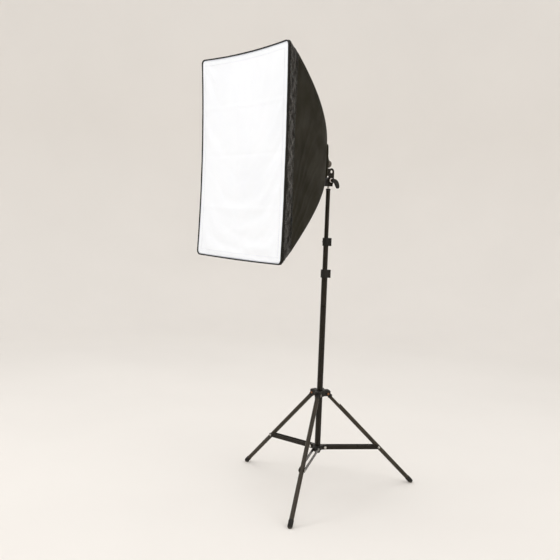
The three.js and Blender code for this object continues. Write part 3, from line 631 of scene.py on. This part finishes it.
def woven(
    name, tones, patch_mm, gloss, thread_mm, relief_mm, crease_mm, crease_relief_mm, **surface
):
    """Cloth: a plain weave on the cut's own metres over soft creases."""
    material, tree, where, shader = coated(name, tones, patch_mm, gloss, 3.0, 0.02, **surface)
    cut = add(tree, "ShaderNodeUVMap", uv_map="cut").outputs[0]
    threads = [
        add(
            tree, "ShaderNodeTexWave",
            {"Vector": cut, "Scale": WAVE_PERIOD / thread_mm, "Distortion": 0.4},
            bands_direction=direction,
        ).outputs[1]
        for direction in ("X", "Y")
    ]
    weave = add(
        tree, "ShaderNodeMath", {0: threads[0], 1: threads[1]}, operation="MULTIPLY"
    ).outputs[0]
    folds = add(
        tree, "ShaderNodeTexNoise",
        {"Vector": where, "Scale": 1000 / crease_mm, "Detail": 3.0, "Distortion": 1.2},
        noise_type="RIDGED_MULTIFRACTAL", normalize=True,
    ).outputs[0]
    creased = add(
        tree, "ShaderNodeBump", {"Height": folds, "Distance": crease_relief_mm / 1000}
    ).outputs[0]
    surface_normal = add(
        tree, "ShaderNodeBump",
        {"Height": weave, "Distance": relief_mm / 1000, "Normal": creased},
    ).outputs[0]
    tree.links.new(surface_normal, shader.inputs["Normal"])
    return material, tree, where, shader


CLOTH_THICKNESS = 0.8


def lined(cloth, lining_material):
    """Gives a cover cloth its thickness, with the silver coat on its inner face."""
    cloth.data.materials.append(lining_material)
    wall = cloth.modifiers.new("lining", "SOLIDIFY")
    wall.thickness = CLOTH_THICKNESS * MM
    wall.offset = -1
    wall.material_offset = 1


# Black oxford nylon: olive black and nearly matt, the coarse plain weave drawn at 1.8 mm
# because its real 0.4 mm is too fine to show.
oxford = woven(
    "black_oxford_nylon", ("#1e1b11", "#262318"), 160, (0.5, 0.68), 1.8, 0.1, 90, 0.5,
    **{"Specular IOR Level": 0.07},
)[0]
# Silver-coated lining: a crumpled grey mirror on the inside.
silver = woven(
    "silver_lining", ("#a8a9aa", "#c6c7c8"), 50, (0.28, 0.45), 1.8, 0.08, 35, 1.0, Metallic=0.9
)[0]


def grow(tree_name, sizes, build):
    """A geometry tree with named inputs for its sizes and its material."""
    tree = bpy.data.node_groups.new(tree_name, "GeometryNodeTree")
    tree.interface.new_socket("Geometry", in_out="INPUT", socket_type="NodeSocketGeometry")
    for label, value in sizes.items():
        socket = tree.interface.new_socket(label, in_out="INPUT", socket_type="NodeSocketFloat")
        socket.default_value = value
    tree.interface.new_socket("Finish", in_out="INPUT", socket_type="NodeSocketMaterial")
    tree.interface.new_socket("Geometry", in_out="OUTPUT", socket_type="NodeSocketGeometry")
    given = add(tree, "NodeGroupInput").outputs
    shape = build(tree, given)
    loose = add(tree, "GeometryNodeRealizeInstances", {"Geometry": shape}).outputs[0]
    smooth = add(tree, "GeometryNodeSetShadeSmooth", {"Geometry": loose}).outputs[0]
    coated_shape = add(
        tree, "GeometryNodeSetMaterial", {"Geometry": smooth, "Material": given["Finish"]}
    ).outputs[0]
    add(tree, "NodeGroupOutput", {"Geometry": coated_shape})
    return tree


def grown(name, tree, points, edges, sizes, material, body, facing=None):
    """A plain mesh of what a geometry tree makes from a line or a set of points."""
    mesh = bpy.data.meshes.new(name + "_guide")
    mesh.from_pydata([tuple(p) for p in points], [tuple(e) for e in edges], [])
    if facing is not None:
        mesh.attributes.new("facing", "FLOAT_VECTOR", "POINT").data.foreach_set(
            "vector", np.array(facing, np.float32).ravel()
        )
    guide = bpy.data.objects.new(name + "_guide", mesh)
    bpy.context.scene.collection.objects.link(guide)
    modifier = guide.modifiers.new("grown", "NODES")
    modifier.node_group = tree
    for item in tree.interface.items_tree:
        if item.in_out == "INPUT" and item.name in sizes:
            modifier[item.identifier] = float(sizes[item.name])
        if item.in_out == "INPUT" and item.name == "Finish":
            modifier[item.identifier] = material
    evaluated = guide.evaluated_get(bpy.context.evaluated_depsgraph_get())
    plain = bpy.data.meshes.new_from_object(evaluated)
    plain.name = name
    guide.modifiers.remove(modifier)
    bpy.data.objects.remove(guide)
    piece = bpy.data.objects.new(name, plain)
    bpy.context.scene.collection.objects.link(piece)
    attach(piece, body)
    return piece


def build_stitches(tree, given):
    """A row of long beads of thread at an even pitch along a line."""
    line = add(tree, "GeometryNodeMeshToCurve", {"Mesh": given["Geometry"]}).outputs[0]
    holes = add(
        tree, "GeometryNodeResampleCurve", {"Curve": line, "Length": given["Pitch"]}, mode="LENGTH"
    ).outputs[0]
    loop = add(
        tree, "GeometryNodeMeshUVSphere", {"Segments": 5, "Rings": 3, "Radius": 1.0}
    ).outputs[0]
    size = add(
        tree, "ShaderNodeCombineXYZ",
        {"X": given["Thread"], "Y": given["Thread"], "Z": given["Length"]},
    ).outputs[0]
    tangent = add(tree, "GeometryNodeInputTangent").outputs[0]
    turn = add(tree, "FunctionNodeAlignRotationToVector", {"Vector": tangent}, axis="Z").outputs[0]
    return add(
        tree, "GeometryNodeInstanceOnPoints",
        {"Points": holes, "Instance": loop, "Rotation": turn, "Scale": size},
    ).outputs[0]


def build_piping(tree, given):
    """A round cord along a line."""
    line = add(tree, "GeometryNodeMeshToCurve", {"Mesh": given["Geometry"]}).outputs[0]
    round_section = add(
        tree, "GeometryNodeCurvePrimitiveCircle", {"Resolution": 10, "Radius": given["Radius"]}
    ).outputs[0]
    return add(
        tree, "GeometryNodeCurveToMesh",
        {"Curve": line, "Profile Curve": round_section, "Fill Caps": True},
    ).outputs[0]


stitch_row = grow(
    "stitch_row", {"Pitch": 0.0065, "Length": 0.0022, "Thread": 0.0005}, build_stitches
)
piping_cord = grow("piping_cord", {"Radius": 0.001}, build_piping)

# Bonded polyester thread: black with a slight shine.
black_thread = coated(
    "black_polyester_thread", ("#1e1c17", "#2b2922"), 6, (0.35, 0.5), 0.8, 0.02
)[0]


STITCH_STAND_OFF = 0.25


def closed_line(count, first=0):
    """The edges of a line that meets its own start."""
    return [(first + k, first + (k + 1) % count) for k in range(count)]


def open_line(count, first=0):
    """The edges of a line with two ends."""
    return [(first + k, first + k + 1) for k in range(count - 1)]


def stood_off(rows_of_points, i, away_mm):
    """One closed row of a sleeve's points, moved outward from the cloth."""
    row = rows_of_points[i]
    along = np.roll(row, -1, axis=0) - np.roll(row, 1, axis=0)
    down = rows_of_points[min(i + 1, len(rows_of_points) - 1)] - rows_of_points[max(i - 1, 0)]
    normal = np.cross(along, down)
    return row + normal / np.linalg.norm(normal, axis=1)[:, None] * away_mm * MM


# Steps of the cloth across, up and round each corner, and their size along the stays.
ACROSS, UP, ARC = 52, 72, 3
COVER_SPACING = 5.6
CREASE_COUNT = 5
CREASE_DEPTH = 2.4
CREASE_WIDTH = 0.022
CREASE_MIDDLE = 0.4
CREASE_FADE = 0.6
whole_run = along_bow(COVER_BACK, COVER_FRONT, COVER_SPACING)[2][-1]
reach, depth, run = along_bow(COVER_BACK, BAND_BACK, COVER_SPACING)
middle = middle_height(reach, depth)
# Each crease runs on a side panel between two places, given as share along and height.
creases = np.random.default_rng(11)
crease_lines = [
    (creases.uniform(0.93, 1.05), -1.0 + 0.05 * k, 0.12 + 0.06 * k, -0.35 + 0.33 * k)
    for k in range(CREASE_COUNT)
]
rows = []
for i in range(len(reach)):
    half_x, half_z = half_sizes(reach[i])
    ring, on_corner = section(half_x, half_z, SEAM_CORNER, ACROSS, UP, ARC)
    share = run[i] / whole_run
    x, z = drawn_in(ring[:, 0], ring[:, 1], half_x, half_z, share)
    w = ring[:, 1] / half_z
    crease = np.zeros(len(ring))
    for s_from, w_from, s_to, w_to in crease_lines:
        along = np.array([s_to - s_from, w_to - w_from])
        length = np.hypot(*along)
        offset = ((share - s_from) * along[1] - (w - w_from) * along[0]) / length
        progress = ((share - s_from) * along[0] + (w - w_from) * along[1]) / length**2
        fading = np.clip(1 - np.abs(progress - CREASE_MIDDLE) / CREASE_FADE, 0, 1)
        crease += CREASE_DEPTH * np.exp(-((offset / CREASE_WIDTH) ** 2)) * fading
    on_side = (np.abs(ring[:, 0]) > half_x - 0.01) & ~on_corner
    x = x + np.sign(x) * crease * on_side * np.clip((1 - np.abs(w)) * 8, 0, 1)
    rows.append(in_frame(x, depth[i], middle[i] + z))
cover = loop_sheet("softbox_cover", rows, run, oxford)
count = len(on_corner)
held = np.tile(on_corner, len(rows))
held[:count] = True
held[-2 * count:] = True
settle(
    cover, held, frames=22, slack=0.004, limit_mm=8, gravity=0.4, bending=0.4, seed=5,
    uneven_mm=0.05, calm=6,
)
cover_points = np.array([v.co for v in cover.data.vertices]).reshape(len(rows), count, 3)
lined(cover, silver)
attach(cover, "head")
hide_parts("panel_top", "panel_bottom", "panel_left", "panel_right")

# A row of stitches along each seam, and piping over the stays and the band's seam.
grown(
    "cover_seam_stitches", stitch_row,
    stood_off(cover_points, len(cover_points) - 2, STITCH_STAND_OFF), closed_line(count), {},
    black_thread, "head",
)
SEAM_SPREAD = 0.0012
corner_columns = np.flatnonzero(on_corner)
cover_middles = cover_points.mean(axis=1)
ridge_points, ridge_edges = [], []
stitch_points, stitch_edges = [], []
for k in range(4):
    columns_here = corner_columns[k * (ARC + 1):(k + 1) * (ARC + 1)]
    ridge = cover_points[:, columns_here[1:3], :].mean(axis=1)
    ridge_edges += open_line(len(ridge), len(ridge_points))
    ridge_points += list(ridge)
    for column in (columns_here[0] - 1, (columns_here[-1] + 1) % count):
        seam = cover_points[:, column, :]
        line = seam + (seam - cover_middles) * SEAM_SPREAD
        stitch_edges += open_line(len(line), len(stitch_points))
        stitch_points += list(line)
grown(
    "corner_piping", piping_cord, ridge_points, ridge_edges, {}, black_thread, "head",
)
grown(
    "corner_seam_stitches", stitch_row, stitch_points, stitch_edges, {}, black_thread, "head",
)
ring_row = cover_points[-1]
grown(
    "band_seam_piping", piping_cord, ring_row, closed_line(len(ring_row)), {"Radius": 0.0009},
    black_thread, "head",
)

# ------------------------------------------------------------------ front band
# A lip of glossier coated nylon around the front, gathered between two seams, so that it
# is crinkled all over and breaks the light into patches.

# Coated nylon: black with a wet gloss on its crinkles, the weave hardly showing.
coated_nylon = woven(
    "gloss_coated_nylon", ("#100e08", "#17140d"), 30, (0.2, 0.36), 1.6, 0.03, 60, 2.2,
    **{"Specular IOR Level": 0.15},
)[0]
BAND_ACROSS, BAND_UP, BAND_ARC = 84, 118, 4
BAND_SPACING = 5.0
BAND_FRONT = 404.4
HEM_CORNER = 18.0
reach, depth, run = along_bow(BAND_BACK, COVER_FRONT, BAND_SPACING)
reach = np.append(reach, [BOW_REACH] * 2)
depth = np.append(depth, [(COVER_FRONT + BAND_FRONT) / 2, BAND_FRONT])
run = np.append(run, run[-1] + depth[-2:] - COVER_FRONT)
middle = middle_height(reach, depth)
rows = []
for i in range(len(reach)):
    half_x, half_z = half_sizes(reach[i])
    along_band = run[i] / run[-1]
    corner = SEAM_CORNER + (HEM_CORNER - SEAM_CORNER) * along_band**2
    ring, band_corner = section(half_x, half_z, corner, BAND_ACROSS, BAND_UP, BAND_ARC)
    share = min(1.0, 1 - (run[-3] - run[i]) / whole_run)
    x, z = drawn_in(ring[:, 0], ring[:, 1], half_x, half_z, share)
    back = along_band * front_set_back(ring[:, 0], ring[:, 1], half_x, half_z)
    rows.append(in_frame(x, depth[i] - back, middle[i] + z))
band = loop_sheet("softbox_front_band", rows, run, coated_nylon)
band_count = len(band_corner)
held = np.zeros(len(rows) * band_count, bool)
held[: 2 * band_count] = True
held[-2 * band_count:] = True
settle(
    band, held, frames=20, slack=0.05, limit_mm=7, gravity=0.2, bending=0.02, seed=8,
    uneven_mm=0.5, calm=1,
)
band_points = np.array([v.co for v in band.data.vertices]).reshape(len(rows), band_count, 3)
lined(band, silver)
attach(band, "head")
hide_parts("front_band")
for name, i in (("band_seam_stitches", 1), ("band_hem_stitches", len(band_points) - 2)):
    grown(
        name, stitch_row, stood_off(band_points, i, STITCH_STAND_OFF), closed_line(band_count),
        {}, black_thread, "head",
    )

# ------------------------------------------------------------------ front binding
# A folded tape of black nylon sewn round the front edge, stiff enough to keep the four
# corners' curve. The diffuser fastens behind it.

# Grosgrain tape: black, dull, with fine ribs across it, drawn at 2 mm.
tape = woven(
    "black_grosgrain_tape", ("#12110d", "#1b1914"), 25, (0.55, 0.7), 2.0, 0.18, 30, 0.4,
    **{"Specular IOR Level": 0.25},
)[0]
HEM_WIDTH = 4.0
HEM_BACK = 404.2
HEM_ACROSS, HEM_UP, HEM_ARC = 110, 150, 10
# How unevenly the tape is sewn on: in its width as a share, and in its depth in millimetres.
WIDTH_WANDER, DEPTH_WANDER = 0.12, 0.3
TAPE_THICKNESS = 0.7
# The tape's map is this wide over its real 14.2 mm, so its weave is finer that way.
TAPE_PATTERN = 24
half_x, half_z = HALF_WIDTH - HEM_WIDTH / 2, HALF_HEIGHT - HEM_WIDTH / 2
path, _ = section(half_x, half_z, HEM_CORNER - HEM_WIDTH / 2, HEM_ACROSS, HEM_UP, HEM_ARC)
path_x, path_z = drawn_in(path[:, 0], path[:, 1], half_x, half_z, 1.0)
back = front_set_back(path[:, 0], path[:, 1], half_x, half_z)
along = np.roll(path, -1, axis=0) - np.roll(path, 1, axis=0)
outward = np.stack([along[:, 1], -along[:, 0]], 1) / np.linalg.norm(along, axis=1)[:, None]
unevenness = np.random.default_rng(4).normal(0, 1, len(path))
unevenness = np.convolve(np.tile(unevenness, 3), np.ones(7) / 7, "same")[len(path):2 * len(path)]
HEM_SECTION = [
    (1.0, 0.02), (1.0, 0.5), (0.97, 0.84), (0.75, 0.96), (0.3, 1.0), (-0.3, 1.0),
    (-0.75, 0.96), (-0.97, 0.84), (-1.0, 0.5), (-1.0, 0.02),
]
rows = []
for out, front in HEM_SECTION:
    aside = HEM_WIDTH / 2 * out * (1 + WIDTH_WANDER * unevenness)
    rows.append(in_frame(
        path_x + outward[:, 0] * aside,
        HEM_BACK + (FACE_DEPTH - HEM_BACK) * front - back + DEPTH_WANDER * unevenness * front,
        FACE_HEIGHT + path_z + outward[:, 1] * aside,
    ))
lengths = np.linspace(0, TAPE_PATTERN, len(rows))
binding = loop_sheet("softbox_front_binding", rows, lengths, tape)
body = binding.modifiers.new("tape", "SOLIDIFY")
body.thickness = TAPE_THICKNESS * MM
body.offset = -1
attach(binding, "head")
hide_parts("front_hem")

# ------------------------------------------------------------------ rear cuff
# The back of the cover is gathered on elastic, so that it closes over the ring and round
# the lamp holder in small pleats.

# The cuff's outline at ten stations, from the cover to the lamp holder.
CUFF_DEPTHS = [53.8, 50.0, 46.0, 42.0, 38.0, 35.0, 32.0, 29.0, 27.2, 26.2]
CUFF_HALF_WIDTHS = [44.9, 46.0, 46.3, 42.5, 38.2, 36.9, 36.0, 32.6, 29.4, 27.6]
CUFF_HALF_HEIGHTS = [61.6, 62.8, 62.8, 53.5, 43.6, 39.8, 37.2, 33.0, 29.6, 27.6]
CUFF_SQUARENESS = [30, 18, 12, 5.5, 2.8, 2.3, 2.05, 2, 2, 2]
CUFF_LIFTS = [4.0, 3.3, 2.7, 2.0, 1.3, 0.7, 0, 0, 0, 0]
CUFF_ROWS = 30
CUFF_ROUND = 264
CUFF_STATION_LENGTH = 3.5
PLEATS = 24
PLEAT_DEPTH = 1.5
ELASTIC_RADIUS = 0.0016
fine = np.linspace(0, len(CUFF_DEPTHS) - 1, CUFF_ROWS)
stations = np.arange(len(CUFF_DEPTHS))
angle = (np.arange(CUFF_ROUND) + 0.5) / CUFF_ROUND * 2 * math.pi
wander = np.random.default_rng(9).uniform(-0.6, 0.6, 8)
phase = sum(wander[k] * np.sin((k + 1) * angle + 2 * k) for k in range(8))
rows, lengths = [], []
for at in fine:
    wide = np.interp(at, stations, CUFF_HALF_WIDTHS)
    high = np.interp(at, stations, CUFF_HALF_HEIGHTS)
    square = np.interp(at, stations, CUFF_SQUARENESS)
    size = (np.abs(np.cos(angle)) ** square + np.abs(np.sin(angle)) ** square) ** (-1 / square)
    gathered = at / (len(CUFF_DEPTHS) - 1)
    pleat = PLEAT_DEPTH * gathered**1.3 * (np.cos(PLEATS * angle + phase) - 1)
    x = wide * np.cos(angle) * size + pleat * np.cos(angle)
    z = high * np.sin(angle) * size + pleat * np.sin(angle)
    lift = np.interp(at, stations, CUFF_LIFTS)
    rows.append(in_frame(x, np.interp(at, stations, CUFF_DEPTHS), LAMP_HEIGHT + lift + z))
    lengths.append(at * CUFF_STATION_LENGTH)
cuff = loop_sheet("softbox_rear_cuff", rows[::-1], lengths, oxford)
lined(cuff, silver)
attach(cuff, "head")
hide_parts("rear_cuff")
cuff_edge = rows[-1]
grown(
    "cuff_elastic", piping_cord, cuff_edge, closed_line(len(cuff_edge)),
    {"Radius": ELASTIC_RADIUS}, black_thread, "head",
)

# ------------------------------------------------------------------ diffuser
# One sheet of white nylon, hook-and-loop fastened behind the front binding. It keeps the
# creases of its folding and is pulled a little askew at its corners.

# White nylon lit from behind: bright and matt, glowing by itself, its weave just felt.
white_nylon = woven(
    "white_diffuser_nylon", ("#e2e2e3", "#eaeaeb"), 300, (0.7, 0.8), 2.0, 0.04, 150, 0.8,
    **{"Emission Color": linear("#deeeff"), "Emission Strength": 0.22},
)[0]
SHEET_HALF_X = 253.2
SHEET_HALF_Z = 348.7
SHEET_CORNER = 13.7
SHEET_DEPTH = FACE_DEPTH - 3.6
SHEET_HEM = 22.0
SHEET_THICKNESS = 0.5
# Where the folded sheet was creased: heights as shares of its half, and the way each stands.
FOLDS_ACROSS = ((-0.5, 1), (0.02, -1), (0.5, 1))
FOLD_DOWN = -0.12
FOLD_RISE, FOLD_DOWN_RISE, FOLD_REACH = 2.4, 1.8, 9
# The pull at the upper left corner, and the slanting ripples along the bottom.
FAN_RISE, FAN_COUNT, FAN_REACH, FAN_CLEAR = 2.6, 11, 230, 90
RIPPLE_RISE, RIPPLE_SLANT, RIPPLE_LENGTH, RIPPLE_REACH, RIPPLE_CLEAR = 1.5, 0.45, 62, 110, 25
columns, lines = 104, 142
grid_u, grid_v = np.meshgrid(np.linspace(-1, 1, columns + 1), np.linspace(-1, 1, lines + 1))
x = grid_u * SHEET_HALF_X
z = grid_v * SHEET_HALF_Z
into_x = np.maximum(np.abs(x) - (SHEET_HALF_X - SHEET_CORNER), 0)
into_z = np.maximum(np.abs(z) - (SHEET_HALF_Z - SHEET_CORNER), 0)
longest = np.maximum(into_x, into_z)
squeeze = np.where(longest > 0, longest / np.maximum(np.hypot(into_x, into_z), 1e-6), 1)
x = np.sign(x) * (np.abs(x) - into_x * (1 - squeeze))
z = np.sign(z) * (np.abs(z) - into_z * (1 - squeeze))
edge = (np.abs(grid_u) > 0.999) | (np.abs(grid_v) > 0.999)
inside = np.clip((1 - np.maximum(np.abs(grid_u), np.abs(grid_v))) * 14, 0, 1)
folds = np.zeros_like(x)
for fold_v, sign in FOLDS_ACROSS:
    folds += sign * FOLD_RISE * np.exp(-np.abs(grid_v - fold_v) * SHEET_HALF_Z / FOLD_REACH)
folds += FOLD_DOWN_RISE * np.exp(-np.abs(grid_u - FOLD_DOWN) * SHEET_HALF_X / FOLD_REACH)
from_side, from_top = x + SHEET_HALF_X, SHEET_HALF_Z - z
away = np.hypot(from_side, from_top)
fan = np.arctan2(from_top, from_side + 1)
folds += (
    FAN_RISE * np.sin(FAN_COUNT * fan) * np.exp(-away / FAN_REACH)
    * np.clip(away / FAN_CLEAR, 0, 1)
)
from_bottom = z + SHEET_HALF_Z
folds += (
    RIPPLE_RISE * np.sin(2 * np.pi * (x + RIPPLE_SLANT * from_bottom) / RIPPLE_LENGTH)
    * np.exp(-from_bottom / RIPPLE_REACH) * np.clip(from_bottom / RIPPLE_CLEAR, 0, 1)
)
sheet_x = x - SIDE_PULL * grid_u * (1 - grid_v**2)
sheet_z = z - np.where(grid_v > 0, TOP_SAG, BOTTOM_SAG) * (1 - grid_u**2) * np.abs(grid_v)
from_edge = np.minimum(SHEET_HALF_X - np.abs(x), SHEET_HALF_Z - np.abs(z))
hem_step = 0.5 / (1 + np.exp((from_edge - SHEET_HEM) / 1.2))
sheet_depth = (
    SHEET_DEPTH - front_set_back(x, z, SHEET_HALF_X, SHEET_HALF_Z) + folds * inside + hem_step
)
points = in_frame(sheet_x.ravel(), sheet_depth.ravel(), FACE_HEIGHT + sheet_z.ravel())
stride = columns + 1
faces = [
    (r * stride + c, r * stride + c + 1, (r + 1) * stride + c + 1, (r + 1) * stride + c)
    for r in range(lines)
    for c in range(columns)
]
sheet = made("diffuser_sheet", points, faces, white_nylon, 180)
order = np.array(faces).ravel()
sheet.data.uv_layers.new(name="cut").data.foreach_set(
    "uv", (np.stack([x.ravel(), z.ravel()], 1)[order] * MM).astype(np.float32).ravel()
)
settle(
    sheet, edge.ravel(), frames=22, slack=0.005, limit_mm=7, gravity=1.0, bending=0.1, seed=3,
    uneven_mm=0.1, calm=3,
)
sheet_points = np.array([v.co for v in sheet.data.vertices]).reshape(lines + 1, columns + 1, 3)
body = sheet.modifiers.new("body", "SOLIDIFY")
body.thickness = SHEET_THICKNESS * MM
body.offset = -1
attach(sheet, "head")
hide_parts("diffuser")

# The same polyester thread in white, round the sheet's hem.
white_thread = coated(
    "white_polyester_thread", ("#d9d8d4", "#e6e5e1"), 6, (0.5, 0.6), 0.8, 0.02
)[0]
HEM_IN = 4
loop = (
    [(HEM_IN, c) for c in range(HEM_IN, columns - HEM_IN + 1)]
    + [(r, columns - HEM_IN) for r in range(HEM_IN + 1, lines - HEM_IN + 1)]
    + [(lines - HEM_IN, c) for c in range(columns - HEM_IN - 1, HEM_IN - 1, -1)]
    + [(r, HEM_IN) for r in range(lines - HEM_IN - 1, HEM_IN, -1)]
)
row = np.array([sheet_points[r, c] for r, c in loop]) + np.array([0, -0.0004, 0])
grown(
    "diffuser_hem_stitches", stitch_row, row, closed_line(len(row)), {"Pitch": 0.006},
    white_thread, "head",
)

# ------------------------------------------------------------------ brace rivets and label
# Bright domed heads of zinc-plated rivets, one on each side of the joint of a brace and its
# leg and one on the front leg's pin. One leg carries a blank paper label.


def build_rivets(tree, given):
    """A flattened dome on each point, turned to its facing."""
    dome = add(
        tree, "GeometryNodeMeshUVSphere", {"Segments": 20, "Rings": 10, "Radius": 1.0}
    ).outputs[0]
    size = add(
        tree, "ShaderNodeCombineXYZ",
        {"X": given["Radius"], "Y": given["Radius"], "Z": given["Height"]},
    ).outputs[0]
    facing = add(
        tree, "GeometryNodeInputNamedAttribute", {"Name": "facing"}, data_type="FLOAT_VECTOR"
    ).outputs[0]
    turn = add(tree, "FunctionNodeAlignRotationToVector", {"Vector": facing}, axis="Z").outputs[0]
    return add(
        tree, "GeometryNodeInstanceOnPoints",
        {"Points": given["Geometry"], "Instance": dome, "Rotation": turn, "Scale": size},
    ).outputs[0]


rivet_heads = grow("rivet_heads", {"Radius": 0.0057, "Height": 0.0021}, build_rivets)
LEG_HEADINGS = [math.radians(turn) for turn in (67.4, 187.4, 307.4)]
LEG_LEAN = math.radians(44.9)
LEG_PIVOT_RADIUS, LEG_PIVOT_HEIGHT = 31.5, 374.5
BRACE_ON_LEG = 311.5
BRACE_OUTER = 10.65
for number, heading in enumerate(LEG_HEADINGS, 1):
    outward = Vector((math.cos(heading), math.sin(heading), 0))
    across = Vector((-outward.y, outward.x, 0))
    centre = POLE + outward * (LEG_PIVOT_RADIUS + BRACE_ON_LEG * math.sin(LEG_LEAN)) * MM
    centre.z = (LEG_PIVOT_HEIGHT - BRACE_ON_LEG * math.cos(LEG_LEAN)) * MM
    grown(
        f"brace_{number}_rivets", rivet_heads,
        [centre + across * BRACE_OUTER * MM, centre - across * BRACE_OUTER * MM], [], {},
        zinc, f"brace_{number}", [across, -across],
    )

# The front leg's pin carries a bright pressed head over its copper one.
front = Vector((math.cos(LEG_HEADINGS[2]), math.sin(LEG_HEADINGS[2]), 0))
front_side = Vector((-front.y, front.x, 0))
PIN_HEAD_OUTER = 12.45
head_centre = POLE + front * LEG_PIVOT_RADIUS * MM + front_side * PIN_HEAD_OUTER * MM
head_centre.z = LEG_PIVOT_HEIGHT * MM
grown(
    "front_pin_head", rivet_heads, [head_centre], [], {"Radius": 0.0046, "Height": 0.0013},
    zinc, frame["nodes"]["leg_pin_3"]["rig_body"], [front_side],
)

# Coated paper: plain white with a slight gloss, wrapped part of the way round the tube.
label_paper = coated(
    "blank_white_label", ("#e9e8e4", "#f4f3f0"), 20, (0.35, 0.45), 1.0, 0.02
)[0]
LABEL_FROM, LABEL_TO, LABEL_RADIUS, LABEL_HALF_ANGLE = 19.0, 66.0, 8.42, 62
LABEL_STEPS = 16
LABEL_THICKNESS = 0.15
outward = Vector((math.cos(LEG_HEADINGS[0]), math.sin(LEG_HEADINGS[0]), 0))
down = outward * math.sin(LEG_LEAN) + Vector((0, 0, -math.cos(LEG_LEAN)))
upper = outward * math.cos(LEG_LEAN) + Vector((0, 0, math.sin(LEG_LEAN)))
across = down.cross(upper)
pivot = POLE + outward * LEG_PIVOT_RADIUS * MM + Vector((0, 0, LEG_PIVOT_HEIGHT * MM))
points, faces = [], []
for i in range(LABEL_STEPS + 1):
    turn = math.radians(LABEL_HALF_ANGLE * (2 * i / LABEL_STEPS - 1))
    around = upper * math.cos(turn) + across * math.sin(turn)
    for distance in (LABEL_FROM, (LABEL_FROM + LABEL_TO) / 2, LABEL_TO):
        points.append(pivot + (down * distance + around * LABEL_RADIUS) * MM)
for i in range(LABEL_STEPS):
    for j in range(2):
        a = i * 3 + j
        faces.append((a, a + 3, a + 4, a + 1))
label = made("leg_label", points, faces, label_paper)
paper = label.modifiers.new("paper", "SOLIDIFY")
paper.thickness = LABEL_THICKNESS * MM
paper.offset = -1
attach(label, "leg_1")
